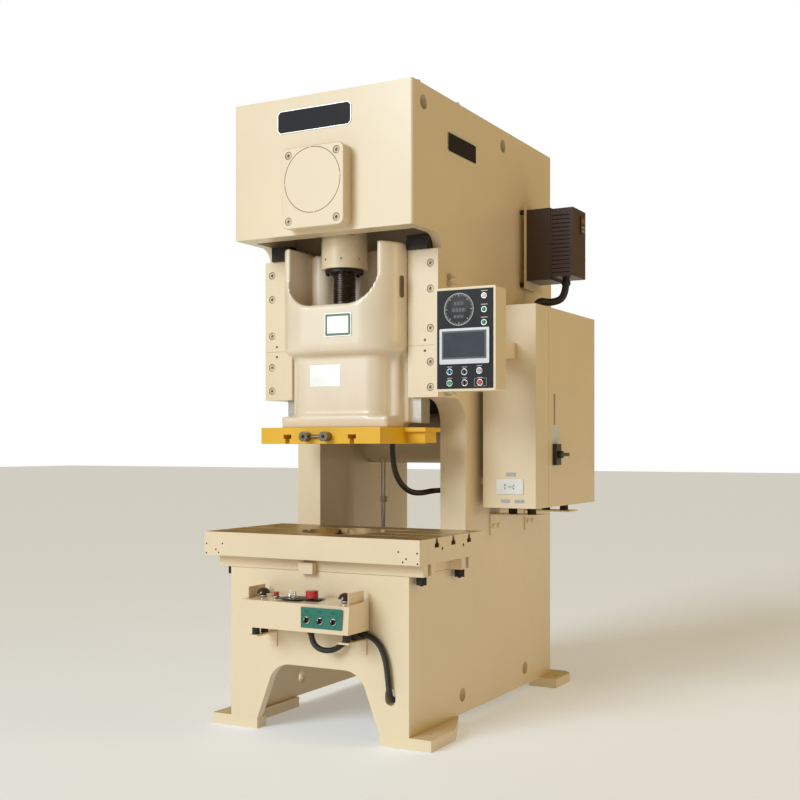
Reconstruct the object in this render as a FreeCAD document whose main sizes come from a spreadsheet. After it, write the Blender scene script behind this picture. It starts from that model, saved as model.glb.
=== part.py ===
import FreeCAD, Part

import math
import os
import re

import Sketcher

# Open-front (C-frame) mechanical stamping press.
# Millimetres; +Z up, +Y to the back; the origin is on the floor under the axis of the slide.

Vector = FreeCAD.Vector
doc = FreeCAD.newDocument("StampingPress")
sheet = doc.addObject("Spreadsheet::Sheet", "Dims")

FRAME_SIZES = [
    ("frame_width", 1044), ("frame_height", 3210), ("frame_rear", 1565), ("side_plate", 50),
    ("head_reach", 235), ("head_bottom", 2510), ("head_plate", 110), ("top_plate", 30),
    ("neck_reach", 81), ("jaw_height", 1690), ("throat_depth", 356), ("throat_radius", 130),
    ("gib_clearance", 1), ("edge_radius", 12),
    ("column_width", 97), ("column_back", 725), ("column_foot", 700), ("column_top", 1900),
    ("guide_back", 260), ("lifting_hole_radius", 36), ("lifting_hole_drop", 90), ("lifting_front", 120),
    ("lifting_back", 843), ("lower_hole_height", 152), ("lower_hole_front", 321), ("lower_hole_back", 1164),
    ("wall_plate", 60), ("middle_wall", 560), ("rear_wall", 1120),
    ("bed_height", 886), ("bed_plate", 65), ("bed_hole_radius", 190),
    ("ear_reach", 600), ("ear_length", 130), ("rear_ear_end", 280), ("ear_bolt_x", 555), ("ear_slot", 34),
    ("apron_front", 270), ("apron_plate", 50), ("arch_height", 345), ("arch_foot", 358),
    ("arch_top", 249), ("arch_radius", 125), ("stop_lug_width", 82), ("stop_lug_depth", 40),
    ("stop_lug_top", 867), ("stop_lug_height", 56), ("cable_slot_x", 420), ("cable_slot_z", 240),
    ("cable_slot_width", 56), ("cable_slot_height", 84),
    ("foot_plate", 55), ("foot_reach", 640), ("front_foot_corner", 7), ("front_foot_back", 258),
    ("front_toe_depth", 80), ("rear_foot_reach", 625), ("rear_foot_front", 1398), ("rear_foot_back", 1678),
    ("rear_foot_chamfer", 45), ("foot_inner", 450), ("anchor_radius", 15), ("anchor_x", 580),
    ("front_anchor_y", 140), ("rear_anchor_y", 1500),
]
SLIDE_SIZES = [
    ("shut_height", 450), ("stroke", 140), ("slide_plate_width", 700), ("slide_plate_depth", 490),
    ("slide_plate", 82), ("shank_bore_radius", 25), ("ear_plate_reach", 470), ("ear_plate_start", 0),
    ("ear_plate_end", 170), ("ear_plate", 22), ("ear_block_reach", 455), ("ear_block_end", 150),
    ("ear_block_rise", 5), ("slide_slot_x", 190), ("slot_throat", 24), ("slot_head", 46),
    ("slot_head_height", 20), ("slot_lip", 26),
    ("flange_width", 630), ("flange_front", 116), ("flange_back", 110), ("flange_height", 60),
    ("slide_neck_width", 548), ("slide_neck_front", 105), ("slide_neck_back", 110), ("slide_neck_radius", 100),
    ("bulge_width", 696), ("bulge_front", 170), ("bulge_back", 200), ("bulge_radius", 195),
    ("bulge_bottom", 1910), ("slide_top", 2468), ("shoulder_radius", 42), ("slope_foot", 2160),
    ("slope_top", 2305), ("slope_front", 121), ("window_width", 520), ("window_bottom", 2160),
    ("window_radius", 150), ("cavity_front", 128), ("cavity_back", 135), ("wing_plate_width", 690),
    ("wing_plate_front", 50), ("wing_bottom", 1562), ("wing_top", 2440), ("guide_inner", 405),
    ("guide_step", 176), ("guide_face", 352), ("rib_x", 290), ("rib_y", 18), ("rib_radius", 28),
    ("boss_x", 192), ("boss_y", 95), ("boss_radius", 60), ("running_gap", 0.05), ("slide_gap", 0.3),
    ("clamp_spacing", 118), ("clamp_radius", 25), ("clamp_length", 46), ("clamp_height", 36),
]
DRIVE_SIZES = [
    ("crank_height", 2762), ("journal_radius", 90), ("pin_radius", 80),
    ("web_front", 112), ("web_plate", 48), ("web_radius", 95), ("rod_width", 120), ("big_end_radius", 135),
    ("drum_radius", 115), ("drum_bottom", 2352), ("drum_seam", 2500), ("drum_cap_radius", 119),
    ("ring_radius", 100), ("ring_height", 17), ("ring_screw_circle", 88), ("ring_screw_radius", 9),
    ("screw_radius", 55), ("screw_land_radius", 50), ("ball_radius", 75), ("ball_height", 2000),
    ("module_size", 10), ("gear_teeth", 70), ("pinion_teeth", 14), ("gear_front", 370),
    ("gear_width", 120), ("shaft_radius", 50), ("shaft_rear", 1475), ("flywheel_radius", 450),
    ("flywheel_front", 1290), ("flywheel_width", 160), ("rim_depth", 90), ("web_thickness", 40),
    ("hub_radius", 110), ("belt_front", 1385), ("belt_width", 14), ("belt_pitch", 16),
    ("belt_count", 4), ("belt_thickness", 10), ("motor_height", 1520), ("motor_radius", 150),
    ("motor_front", 1045), ("motor_length", 320), ("pulley_radius", 90), ("motor_shaft_radius", 24),
    ("motor_base_plate", 25), ("guard_reach", 500), ("guard_bottom", 1370), ("guard_top", 2850),
    ("guard_depth", 75), ("guard_sheet", 4), ("louvre_count", 9),
    ("louvre_pitch", 70), ("louvre_width", 260), ("louvre_height", 22), ("louvre_start", 1960),
    ("tank_radius", 140), ("tank_length", 800), ("tank_y", 900), ("tank_z", 1492), ("tank_dome", 80), ("tank_wall", 6),
]
FRONT_SIZES = [
    ("cover_width", 362), ("cover_bottom", 2527), ("cover_top", 2932), ("cover_depth", 75),
    ("cover_radius", 35), ("cover_edge", 6), ("disc_radius", 162), ("disc_groove", 1.5),
    ("cover_screw_x", 140), ("cover_screw_inset", 38), ("gib_width", 171), ("gib_plate", 44),
    ("gib_top", 2433), ("gib_split", 1950), ("gib_joint", 1), ("gib_screw_inset", 43),
    ("dowel_inset", 74), ("dowel_radius", 7), ("dowel_rise", 27), ("screw_head_radius", 17),
    ("screw_head_height", 18), ("counterbore_radius", 20), ("counterbore_depth", 20), ("socket_radius", 9),
    ("screw_shank_radius", 9), ("jack_radius", 8), ("jack_length", 44), ("jack_nut_radius", 16),
    ("jack_nut_height", 14), ("stop_block_width", 118), ("stop_block_depth", 61), ("stop_block_height", 75),
    ("bolster_width", 1250), ("bolster_depth", 710), ("bolster_front", 359), ("bolster_plate", 120),
    ("bolster_chamfer_y", 93), ("bolster_chamfer_z", 55), ("bolster_slot_pitch", 180),
    ("bolster_slot_depth", 46), ("opening_radius", 220), ("hold_down_radius", 9),
    ("hold_down_nut_radius", 28), ("hold_down_nut_height", 42), ("hold_down_grip", 50),
    ("plate_thickness", 3), ("name_width", 435), ("name_height", 115), ("name_left", 254),
    ("name_bottom", 3030), ("name_clip", 14), ("side_name_start", 142), ("side_name_width", 342),
    ("side_name_height", 100), ("side_name_bottom", 2940),
]
CONTROL_SIZES = [
    ("panel_left", 603), ("panel_width", 317), ("panel_front", 155), ("panel_depth", 122),
    ("panel_bottom", 1706), ("panel_height", 494), ("panel_radius", 8), ("face_margin", 12),
    ("face_plate", 3), ("duct_left", 650), ("duct_width", 100), ("duct_bottom", 1900), ("duct_height", 85),
    ("panel_button_radius", 12), ("panel_button_length", 14), ("panel_button_travel", 4), ("box_sheet", 4),
    ("cabinet_left", 560), ("cabinet_width", 301), ("cabinet_front", 491), ("cabinet_depth", 915),
    ("cabinet_bottom", 1118), ("cabinet_height", 1068), ("cabinet_sheet", 4), ("door_sheet", 20),
    ("door_skin", 3), ("door_start", 673), ("door_gap", 2), ("handle_y", 757), ("handle_bottom", 1560),
    ("handle_length", 165), ("handle_width", 22), ("handle_depth", 9), ("lever_y", 764), ("lever_z", 1399),
    ("lever_base_width", 72), ("lever_base_height", 114), ("lever_base_depth", 24), ("lever_hub_radius", 20),
    ("lever_length", 100), ("lever_depth", 22), ("outlet_left", 640), ("outlet_width", 152),
    ("outlet_bottom", 1192), ("outlet_height", 79), ("outlet_plate", 6),
    ("bracket_plate", 8), ("bracket_width", 135), ("bracket_reach", 280), ("bracket_drop", 118),
    ("front_bracket_y", 661), ("rear_bracket_y", 1150), ("mount_radius", 24), ("mount_height", 42),
    ("drive_plate_left", 552), ("drive_plate", 16), ("drive_plate_front", 1076), ("drive_plate_depth", 250),
    ("drive_plate_bottom", 2350), ("drive_plate_height", 468), ("sink_width", 146), ("sink_depth", 212),
    ("sink_bottom", 2392), ("sink_height", 408), ("drive_cover_width", 134), ("drive_cover_drop", 14),
    ("fin_count", 15), ("fin_groove", 6), ("fin_groove_depth", 8),
    ("console_width", 624), ("console_front", 473), ("console_back", 290), ("console_bottom", 556),
    ("console_height", 144), ("console_lean", 12), ("guard_plate", 4), ("guard_height", 48),
    ("console_bracket_x", 262), ("console_bracket_width", 60), ("console_bracket_plate", 8),
    ("console_mount_height", 44), ("console_mount_radius", 19), ("button_y", 385), ("palm_x", 237),
    ("palm_radius", 35), ("palm_height", 40), ("palm_travel", 7), ("stop_x", 49), ("stop_radius", 31),
    ("stop_height", 36), ("push_x", 161), ("push_radius", 13), ("push_height", 18), ("selector_x", 82),
    ("selector_pitch", 75), ("selector_z", 615), ("selector_radius", 14), ("selector_depth", 16),
    ("conduit_radius", 15), ("riser_radius", 14), ("riser_x", 246), ("riser_y", 850), ("riser_bottom", 846), ("riser_top", 1350), ("hose_radius", 15),
    ("fitting_x", 455), ("lock_x", 51),
]


def fill_sheet():
    rows = FRAME_SIZES + SLIDE_SIZES + DRIVE_SIZES + FRONT_SIZES + CONTROL_SIZES
    for row, (alias, value) in enumerate(rows, start=1):
        sheet.set(f"A{row}", alias)
        sheet.set(f"B{row}", str(value))
        sheet.setAlias(f"B{row}", alias)
    doc.recompute()
    return [alias for alias, value in rows]


ALIASES = fill_sheet()
NODES = []


def size(alias):
    """The value of one cell, for shapes that are worked out in code."""
    return float(sheet.get(alias))


def formula(text):
    """A spreadsheet expression from plain words: every alias becomes Dims.alias."""
    return re.sub(r"[a-z_]+\w*", lambda word: f"Dims.{word[0]}" if word[0] in ALIASES else word[0], str(text))


def bind(item, **sizes):
    for prop, text in sizes.items():
        item.setExpression(prop, formula(text))
    return item


def put(item, x="0", y="0", z="0", rotation=None):
    """Placement of an object, with its base point bound to the sheet."""
    item.Placement = FreeCAD.Placement(Vector(), rotation or FreeCAD.Rotation())
    for letter, text in zip("xyz", (x, y, z)):
        item.setExpression(f"Placement.Base.{letter}", formula(text))
    return item


def block(name, x, y, z):
    """A box between a low and a high value along each axis."""
    item = doc.addObject("Part::Box", name)
    bind(item, Length=f"({x[1]}) - ({x[0]})", Width=f"({y[1]}) - ({y[0]})", Height=f"({z[1]}) - ({z[0]})")
    return put(item, x[0], y[0], z[0])


AXIS_TURN = {
    "x": FreeCAD.Rotation(Vector(0, 1, 0), 90),
    "y": FreeCAD.Rotation(Vector(1, 0, 0), -90),
    "z": FreeCAD.Rotation(),
}


def rod(name, axis, start, radius, length):
    """A cylinder that runs from its start point along one axis."""
    item = doc.addObject("Part::Cylinder", name)
    bind(item, Radius=radius, Height=length)
    return put(item, *start, rotation=AXIS_TURN[axis])


def hexagon(name, axis, start, radius, length):
    item = doc.addObject("Part::Prism", name)
    item.Polygon = 6
    bind(item, Circumradius=radius, Height=length)
    return put(item, *start, rotation=AXIS_TURN[axis])


def fuse(name, *parts):
    item = doc.addObject("Part::MultiFuse", name)
    item.Shapes = list(parts)
    item.Refine = True
    return item


def group(name, *parts):
    item = doc.addObject("Part::Compound", name)
    item.Links = list(parts)
    return item


def cut(name, base, *tools):
    item = doc.addObject("Part::Cut", name)
    item.Base = base
    item.Tool = tools[0] if len(tools) == 1 else group(f"{name}_tools", *tools)
    item.Refine = True
    return item


def common(name, base, room):
    """The part of a piece that lies inside a room."""
    item = doc.addObject("Part::Common", name)
    item.Base = base
    item.Tool = room
    item.Refine = True
    return item


def mirror(name, source):
    """The same piece on the other side of the press."""
    item = doc.addObject("Part::Mirroring", name)
    item.Source = source
    item.Normal = Vector(1, 0, 0)
    return item


def node(label, item):
    """Names a finished sub-part; its label is its file name."""
    item.Label = label
    NODES.append(item)
    return item


PLANES = {"XY": "XY_Plane", "XZ": "XZ_Plane", "YZ": "YZ_Plane"}


def sketch_on(body, plane, name):
    base = [item for item in body.Origin.OriginFeatures if item.Role == PLANES[plane]][0]
    sketch = body.newObject("Sketcher::SketchObject", name)
    sketch.AttachmentSupport = [(base, "")]
    sketch.MapMode = "FlatFace"
    return sketch


def outline(sketch, corners):
    """A closed outline whose corners are each held by two dimensions from the origin."""
    count = len(corners)
    ring = [Vector(math.cos(2 * math.pi * i / count), math.sin(2 * math.pi * i / count), 0) for i in range(count)]
    for i in range(count):
        sketch.addGeometry(Part.LineSegment(ring[i] * 100, ring[(i + 1) % count] * 100))
    for i in range(count):
        sketch.addConstraint(Sketcher.Constraint("Coincident", i, 2, (i + 1) % count, 1))
    for i, corner in enumerate(corners):
        for kind, text in zip(("DistanceX", "DistanceY"), corner):
            index = sketch.addConstraint(Sketcher.Constraint(kind, -1, 1, i, 1, 50.0))
            sketch.setExpression(f"Constraints[{index}]", formula(text))


def prism(name, plane, corners, low, high, rounds=()):
    """A plate with a drawn outline, from low to high along the third axis.

    rounds is a list of (radius, corner numbers)."""
    body = doc.addObject("PartDesign::Body", name)
    sketch = sketch_on(body, plane, f"{name}_sketch")
    outline(sketch, corners)
    pad = body.newObject("PartDesign::Pad", f"{name}_pad")
    pad.Profile = sketch
    bind(pad, Length=f"({high}) - ({low})")
    start = {"XY": ("0", "0", low), "XZ": ("0", high, "0"), "YZ": (low, "0", "0")}[plane]
    put(body, *start)
    doc.recompute()
    for radius, numbers in rounds:
        points = [sketch.Placement.multVec(sketch.Geometry[number].StartPoint) for number in numbers]
        normal = sketch.Placement.Rotation.multVec(Vector(0, 0, 1))
        soften(body, radius, lambda edge: along(edge, normal) and any(on_line(edge, p, normal) for p in points))
    return body


def along(edge, direction):
    if len(edge.Vertexes) != 2:
        return False
    run = edge.Vertexes[1].Point - edge.Vertexes[0].Point
    return run.Length > 0 and abs(abs(run.normalize().dot(direction)) - 1) < 1e-6


def on_line(edge, point, direction):
    return (edge.Vertexes[0].Point - point).cross(direction).Length < 1e-3


def soften(body, radius, chosen):
    """A PartDesign fillet on the edges of the body's last feature that the test picks."""
    last = body.Tip
    names = [f"Edge{i}" for i, edge in enumerate(last.Shape.Edges, start=1) if chosen(edge)]
    fillet = body.newObject("PartDesign::Fillet", f"{body.Name}_round")
    fillet.Base = (last, names)
    bind(fillet, Radius=radius)
    doc.recompute()
    return body


def turned(name, profile, axis, start):
    """A turned piece: profile points are (distance along the axis, radius)."""
    body = doc.addObject("PartDesign::Body", name)
    sketch = sketch_on(body, "XY", f"{name}_sketch")
    outline(sketch, profile)
    spin = body.newObject("PartDesign::Revolution", f"{name}_turn")
    spin.Profile = sketch
    spin.ReferenceAxis = (sketch, ["H_Axis"])
    spin.Angle = 360
    turn = {"x": FreeCAD.Rotation(), "y": FreeCAD.Rotation(Vector(0, 0, 1), 90),
            "z": FreeCAD.Rotation(Vector(0, 1, 0), -90)}[axis]
    return put(body, *start, rotation=turn)


def shape_object(name, shape):
    """A shape worked out with Part's own functions, for pieces that have no simpler feature."""
    item = doc.addObject("Part::Feature", name)
    item.Shape = shape
    return item


def bent_tube(name, points, radius):
    """A round tube along straight runs joined by tangent arcs, as large as the runs allow."""
    route = [Vector(*point) for point in points]
    edges = []
    last = route[0]
    bends = []
    for before, corner, after in zip(route, route[1:], route[2:]):
        into = (corner - before).normalize()
        out = (after - corner).normalize()
        turn = into.getAngle(out)
        reach = 0.45 * min((corner - before).Length, (after - corner).Length)
        bend = reach / math.tan(turn / 2)
        bends.append(bend)
        first = corner - into * reach
        end = corner + out * reach
        middle_way = (out - into).normalize()
        middle = corner + middle_way * (bend / math.cos(turn / 2) - bend)
        edges.append(Part.LineSegment(last, first).toShape())
        edges.append(Part.Arc(first, middle, end).toShape())
        last = end
    edges.append(Part.LineSegment(last, route[-1]).toShape())
    path = Part.Wire(edges)
    ring = Part.Wire(Part.Circle(route[0], route[1] - route[0], radius).toShape())
    tube = path.makePipeShell([ring], True, True)
    expected = math.pi * radius ** 2 * path.Length
    print(f"{name}: length {path.Length:.0f}, volume ratio {tube.Volume / expected:.4f}, "
          f"bend radii {[round(bend) for bend in bends]}")
    return shape_object(name, tube)


def socket_screw(name, x, front, z, shank):
    """A socket head screw that faces the front, with its head's face at y = front."""
    head = rod(f"{name}_head", "y", (x, front, z), "screw_head_radius", "screw_head_height")
    body = rod(f"{name}_shank", "y", (x, f"({front}) + screw_head_height", z), "screw_shank_radius", shank)
    blank = fuse(f"{name}_blank", head, body)
    socket = hexagon(f"{name}_socket", "y", (x, front, z), "socket_radius", "screw_head_height * 0.6")
    return cut(name, blank, socket)


OUTER = "frame_width / 2"
INNER = "(frame_width / 2 - side_plate)"
BED_UNDER = "(bed_height - bed_plate)"
APRON_BACK = "-(apron_front - apron_plate)"
COLUMN_INNER = f"({INNER} - column_width)"
GIB_SCREWS = ("gib_top - 71", "gib_top - 200", "gib_top - 397", "jaw_height + 177", "jaw_height + 50")
GIB_SCREW_X = "frame_width / 2 - gib_screw_inset"
PINION_HEIGHT = "(crank_height - module_size * (gear_teeth + pinion_teeth) / 2)"
MOTOR_FOOT = "(motor_height - motor_radius)"


# ---------------------------------------------------------------- frame

def side_frame():
    """The right cheek: plates for head, throat and base welded end to end, with column and guide."""
    profile = [
        (APRON_BACK, "foot_plate"), ("frame_rear", "foot_plate"), ("frame_rear", "frame_height"),
        ("-head_reach", "frame_height"), ("-head_reach", "head_bottom"), ("neck_reach", "head_bottom"),
        ("neck_reach", "jaw_height"), ("throat_depth", "jaw_height"), ("throat_depth", BED_UNDER),
        (APRON_BACK, BED_UNDER),
    ]
    plate = prism("cheek", "YZ", profile, INNER, OUTER,
                  [("head_bottom - gib_top - gib_clearance", [5]), ("throat_radius", [7])])
    front = -size("head_reach")
    outer = size("side_plate")
    soften(plate, "edge_radius", lambda edge: along(edge, Vector(0, 0, 1))
           and on_line(edge, Vector(outer, front, 0), Vector(0, 0, 1)))
    column_profile = [
        ("throat_depth", "column_foot"), ("column_back", "column_foot"), ("column_back", "column_top"),
        ("guide_step", "column_top"), ("guide_step", "jaw_height"), ("throat_depth", "jaw_height"),
    ]
    column = prism("column", "YZ", column_profile, COLUMN_INNER, INNER, [("throat_radius", [5])])
    guide_outline = [
        (INNER, "neck_reach"), (INNER, "guide_back"), ("guide_face", "guide_back"),
        ("guide_face", "guide_step"), ("guide_inner", "guide_step"), ("guide_inner", "neck_reach"),
    ]
    guide = prism("guide", "XY", guide_outline, "jaw_height", "head_bottom")
    blank = fuse("side_frame_blank", plate, column, guide)
    holes = []
    lifting_height = "frame_height - lifting_hole_drop"
    for index, y in enumerate(("-lifting_front", "lifting_back")):
        start = (f"{INNER} - 1", y, lifting_height)
        holes.append(rod(f"lifting_hole_{index}", "x", start, "lifting_hole_radius", "side_plate + 2"))
    for index, y in enumerate(("lower_hole_front", "lower_hole_back")):
        start = (f"{INNER} - 1", y, "lower_hole_height")
        holes.append(rod(f"lower_hole_{index}", "x", start, "lifting_hole_radius", "side_plate + 2"))
    for index, z in enumerate(GIB_SCREWS):
        start = (GIB_SCREW_X, "neck_reach - 1", z)
        holes.append(rod(f"gib_tap_{index}", "y", start, "screw_shank_radius + running_gap", "33"))
    bored = cut("side_frame_bored", blank, *holes)
    sections = []
    spans = (("base", "0", BED_UNDER), ("throat", BED_UNDER, "head_bottom"), ("top", "head_bottom", "frame_height"))
    for name, low, high in spans:
        room = block(f"{name}_span", (COLUMN_INNER, OUTER), ("-head_reach", "frame_rear"), (low, high))
        sections.append(common(f"{name}_section", bored, room))
    return group("side_frame_shape", *sections)


def feet():
    """The two foot plates below each cheek, with holes for the anchor bolts."""
    front_foot_outline = [
        ("arch_foot", "-apron_front"), ("foot_reach", "-apron_front"), ("foot_reach", "-front_foot_corner"),
        ("530", "front_foot_back"), ("foot_inner", "front_foot_back"),
        ("foot_inner", "front_toe_depth - apron_front"), ("arch_foot", "front_toe_depth - apron_front"),
    ]
    front_foot = prism("front_foot", "XY", front_foot_outline, "0", "foot_plate")
    rear_foot_outline = [
        ("foot_inner", "rear_foot_front"), ("rear_foot_reach", "rear_foot_front"),
        ("rear_foot_reach", "rear_foot_back - rear_foot_chamfer"),
        ("rear_foot_reach - rear_foot_chamfer", "rear_foot_back"), ("foot_inner", "rear_foot_back"),
    ]
    rear_foot = prism("rear_foot", "XY", rear_foot_outline, "0", "foot_plate")
    plates = []
    for index, (plate, y) in enumerate(((front_foot, "-front_anchor_y"), (rear_foot, "rear_anchor_y"))):
        hole = rod(f"anchor_hole_{index}", "z", ("anchor_x", y, "-1"), "anchor_radius", "foot_plate + 2")
        plates.append(cut(f"foot_{index}", plate, hole))
    node("feet", group("foot_plates", *plates, *[mirror(f"left_{plate.Name}", plate) for plate in plates]))


def head():
    """Front plate of the head, its roof, the three walls that carry the shafts, and the motor's shelf."""
    plate = block("head_front", (f"-{INNER}", INNER), ("-head_reach", "head_plate - head_reach"),
                  ("head_bottom", "frame_height"))
    bore = rod("front_bore", "y", ("0", "-head_reach - 1", "crank_height"), "journal_radius + running_gap",
               "head_plate + 2")
    node("head_front_plate", cut("head_front_bored", plate, bore))
    roof = block("roof", (f"-{INNER}", INNER), ("head_plate - head_reach", "frame_rear"),
                 ("frame_height - top_plate", "frame_height"))
    node("top_plate", roof)
    walls = []
    spans = (("guide_back", "column_top", "frame_height - top_plate"),
             ("middle_wall", "column_top", "frame_height - top_plate"), ("rear_wall", "column_top", "2800"))
    for index, (y, bottom, top) in enumerate(spans):
        wall = block(f"wall_{index}", (f"-{INNER}", INNER), (y, f"{y} + wall_plate"), (bottom, top))
        start = ("0", f"{y} - 1", PINION_HEIGHT)
        bores = [rod(f"shaft_bore_{index}", "y", start, "shaft_radius + running_gap", "wall_plate + 2")]
        if index < 2:
            start = ("0", f"{y} - 1", "crank_height")
            bores.append(rod(f"crank_bore_{index}", "y", start, "journal_radius + running_gap", "wall_plate + 2"))
        walls.append(cut(f"bearing_wall_{index}", wall, *bores))
    walls.append(block("motor_shelf", (f"-{INNER}", INNER), ("motor_front + 20", "motor_front + motor_length"),
                       (f"{MOTOR_FOOT} - motor_base_plate", MOTOR_FOOT)))
    node("bearing_walls", group("walls", *walls))




def bed():
    """The bed plate with its four slotted ears, and the front apron with its arch."""
    ear_front = ("-apron_front", "ear_length - apron_front")
    ear_rear = ("rear_ear_end - ear_length", "rear_ear_end")
    main = block("bed_main", (f"-({OUTER})", OUTER), ("-apron_front", "throat_depth"), (BED_UNDER, "bed_height"))
    between = block("bed_back", (f"-{COLUMN_INNER}", COLUMN_INNER), ("throat_depth", "column_back"),
                    (BED_UNDER, "bed_height"))
    ears = []
    slots = []
    for index, (low, high) in enumerate((ear_front, ear_rear)):
        ears.append(block(f"ear_{index}", ("-ear_reach", "ear_reach"), (low, high), (BED_UNDER, "bed_height")))
        for side in (-1, 1):
            middle = f"(({low}) + ({high})) / 2"
            ends = (f"{side} * ear_bolt_x", f"{side} * (ear_reach + 5)")
            x = ends if side > 0 else ends[::-1]
            name = f"ear_slot_{index}_{'right' if side > 0 else 'left'}"
            z = (f"{BED_UNDER} - 1", "bed_height + 1")
            slots.append(block(name, x, (f"{middle} - ear_slot / 2", f"{middle} + ear_slot / 2"), z))
            start = (f"{side} * ear_bolt_x", middle, f"{BED_UNDER} - 1")
            slots.append(rod(f"{name}_end", "z", start, "ear_slot / 2", "bed_plate + 2"))
    slots.append(rod("bed_hole", "z", ("0", "0", f"{BED_UNDER} - 1"), "bed_hole_radius", "bed_plate + 2"))
    node("bed_plate", cut("bed_shape", fuse("bed_blank", main, between, *ears), *slots))

    corners = [
        (f"-({OUTER})", "foot_plate"), ("-arch_foot", "foot_plate"), ("-arch_top", "arch_height"),
        ("arch_top", "arch_height"), ("arch_foot", "foot_plate"), (OUTER, "foot_plate"),
        (OUTER, BED_UNDER), (f"-({OUTER})", BED_UNDER),
    ]
    sheet_front = prism("apron_plate_body", "XZ", corners, "-apron_front", APRON_BACK, [("arch_radius", [2, 3])])
    lug = block("stop_lug", ("2 - stop_lug_width", "2"), ("-apron_front - stop_lug_depth", "-apron_front"),
                ("stop_lug_top - stop_lug_height", "stop_lug_top"))
    low = "(cable_slot_z - (cable_slot_height - cable_slot_width) / 2)"
    high = "(cable_slot_z + (cable_slot_height - cable_slot_width) / 2)"
    through = ("-apron_front - 1", f"{APRON_BACK} + 1")
    tools = [block("cable_slot", ("cable_slot_x - cable_slot_width / 2", "cable_slot_x + cable_slot_width / 2"),
                   through, (low, high))]
    for index, z in enumerate((low, high)):
        start = ("cable_slot_x", "-apron_front - 1", z)
        tools.append(rod(f"cable_slot_end_{index}", "y", start, "cable_slot_width / 2", "apron_plate + 2"))
    node("apron", cut("apron_shape", fuse("apron_blank", sheet_front, lug), *tools))


# ---------------------------------------------------------------- front of the head and guides

def cover():
    """The bolted cover over the front crank bearing, with a turned groove and screws at its corners."""
    half = "cover_width / 2"
    corners = [(f"-{half}", "cover_bottom"), (half, "cover_bottom"), (half, "cover_top"), (f"-{half}", "cover_top")]
    back = "-head_reach"
    front = "(-head_reach - cover_depth)"
    plate = prism("cover_plate", "XZ", corners, front, back, [("cover_radius", [0, 1, 2, 3])])
    reach = -size("cover_depth")
    soften(plate, "cover_edge", lambda edge: all(abs(vertex.Point.y - reach) < 1e-4 for vertex in edge.Vertexes))
    outer = rod("groove_outer", "y", ("0", f"{front} - 1", "crank_height"), "disc_radius + disc_groove",
                "disc_groove * 2 + 1")
    inner = rod("groove_inner", "y", ("0", f"{front} - 2", "crank_height"), "disc_radius - disc_groove",
                "disc_groove * 2 + 4")
    tools = [cut("groove_ring", outer, inner)]
    screws = []
    for index, (side, z) in enumerate(((-1, "cover_top - cover_screw_inset"), (1, "cover_top - cover_screw_inset"),
                                       (-1, "cover_bottom + cover_screw_inset"),
                                       (1, "cover_bottom + cover_screw_inset"))):
        x = f"{side} * cover_screw_x"
        tools.append(rod(f"cover_sink_{index}", "y", (x, f"{front} - 1", z), "counterbore_radius",
                         "counterbore_depth + 1"))
        tools.append(rod(f"cover_hole_{index}", "y", (x, f"{front} + 1", z), "screw_shank_radius + running_gap",
                         "cover_depth"))
        screws.append(socket_screw(f"cover_screw_{index}", x, f"{front} + 2", z,
                                   "cover_depth - screw_head_height - 2"))
    node("crank_cover", cut("crank_cover_shape", plate, *tools))
    return screws


def gibs():
    """Front guide plates in two lengths, with counterbored screw holes and dowel holes."""
    halves = []
    spans = (("gib_split + gib_joint / 2", "gib_top"), ("jaw_height", "gib_split - gib_joint / 2"))
    front = "(neck_reach - gib_plate)"
    for index, (low, high) in enumerate(spans):
        halves.append(block(f"gib_{index}", (f"{OUTER} - gib_width", OUTER), (front, "neck_reach"), (low, high)))
    tools = []
    for index, z in enumerate(GIB_SCREWS):
        tools.append(rod(f"gib_sink_{index}", "y", (GIB_SCREW_X, f"{front} - 1", z), "counterbore_radius",
                         "counterbore_depth + 1"))
        tools.append(rod(f"gib_hole_{index}", "y", (GIB_SCREW_X, front, z), "screw_shank_radius + running_gap",
                         "gib_plate + 1"))
    for index, z in enumerate(("gib_split + dowel_rise", "gib_split - dowel_rise")):
        start = (f"{OUTER} - dowel_inset", f"{front} - 1", z)
        tools.append(rod(f"dowel_hole_{index}", "y", start, "dowel_radius", "24"))
    right = node("gibs_right", cut("gib_pair", group("gib_halves", *halves), *tools))
    node("gibs_left", mirror("gib_pair_left", right))

    screws = []
    for side in (-1, 1):
        for index, z in enumerate(GIB_SCREWS):
            name = f"gib_screw_{'right' if side > 0 else 'left'}_{index}"
            screws.append(socket_screw(name, f"{side} * ({GIB_SCREW_X})", f"{front} + 2", z,
                                       "gib_plate - screw_head_height - 2 + 30"))
    return screws


def jack_screws():
    """Adjusting screws with lock nuts on the outside of both cheeks, beside the guides."""
    screws = []
    for index, (y, z) in enumerate((("150", "gib_top - 130"), ("150", "gib_top - 166"),
                                    ("119", "jaw_height + 24"), ("154", "jaw_height + 24"))):
        nut = hexagon(f"jack_nut_{index}", "x", (OUTER, y, z), "jack_nut_radius", "jack_nut_height")
        shank = rod(f"jack_shank_{index}", "x", (OUTER, y, z), "jack_radius", "jack_length")
        screw = fuse(f"jack_screw_{index}", nut, shank)
        screws += [screw, mirror(f"jack_screw_left_{index}", screw)]
    return screws


def stop_blocks():
    right = block("stop_block", ("guide_face", "guide_face + stop_block_width"),
                  ("neck_reach - stop_block_depth", "neck_reach"), ("gib_top", "gib_top + stop_block_height"))
    node("stop_blocks", group("stop_block_pair", right, mirror("stop_block_left", right)))


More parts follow.
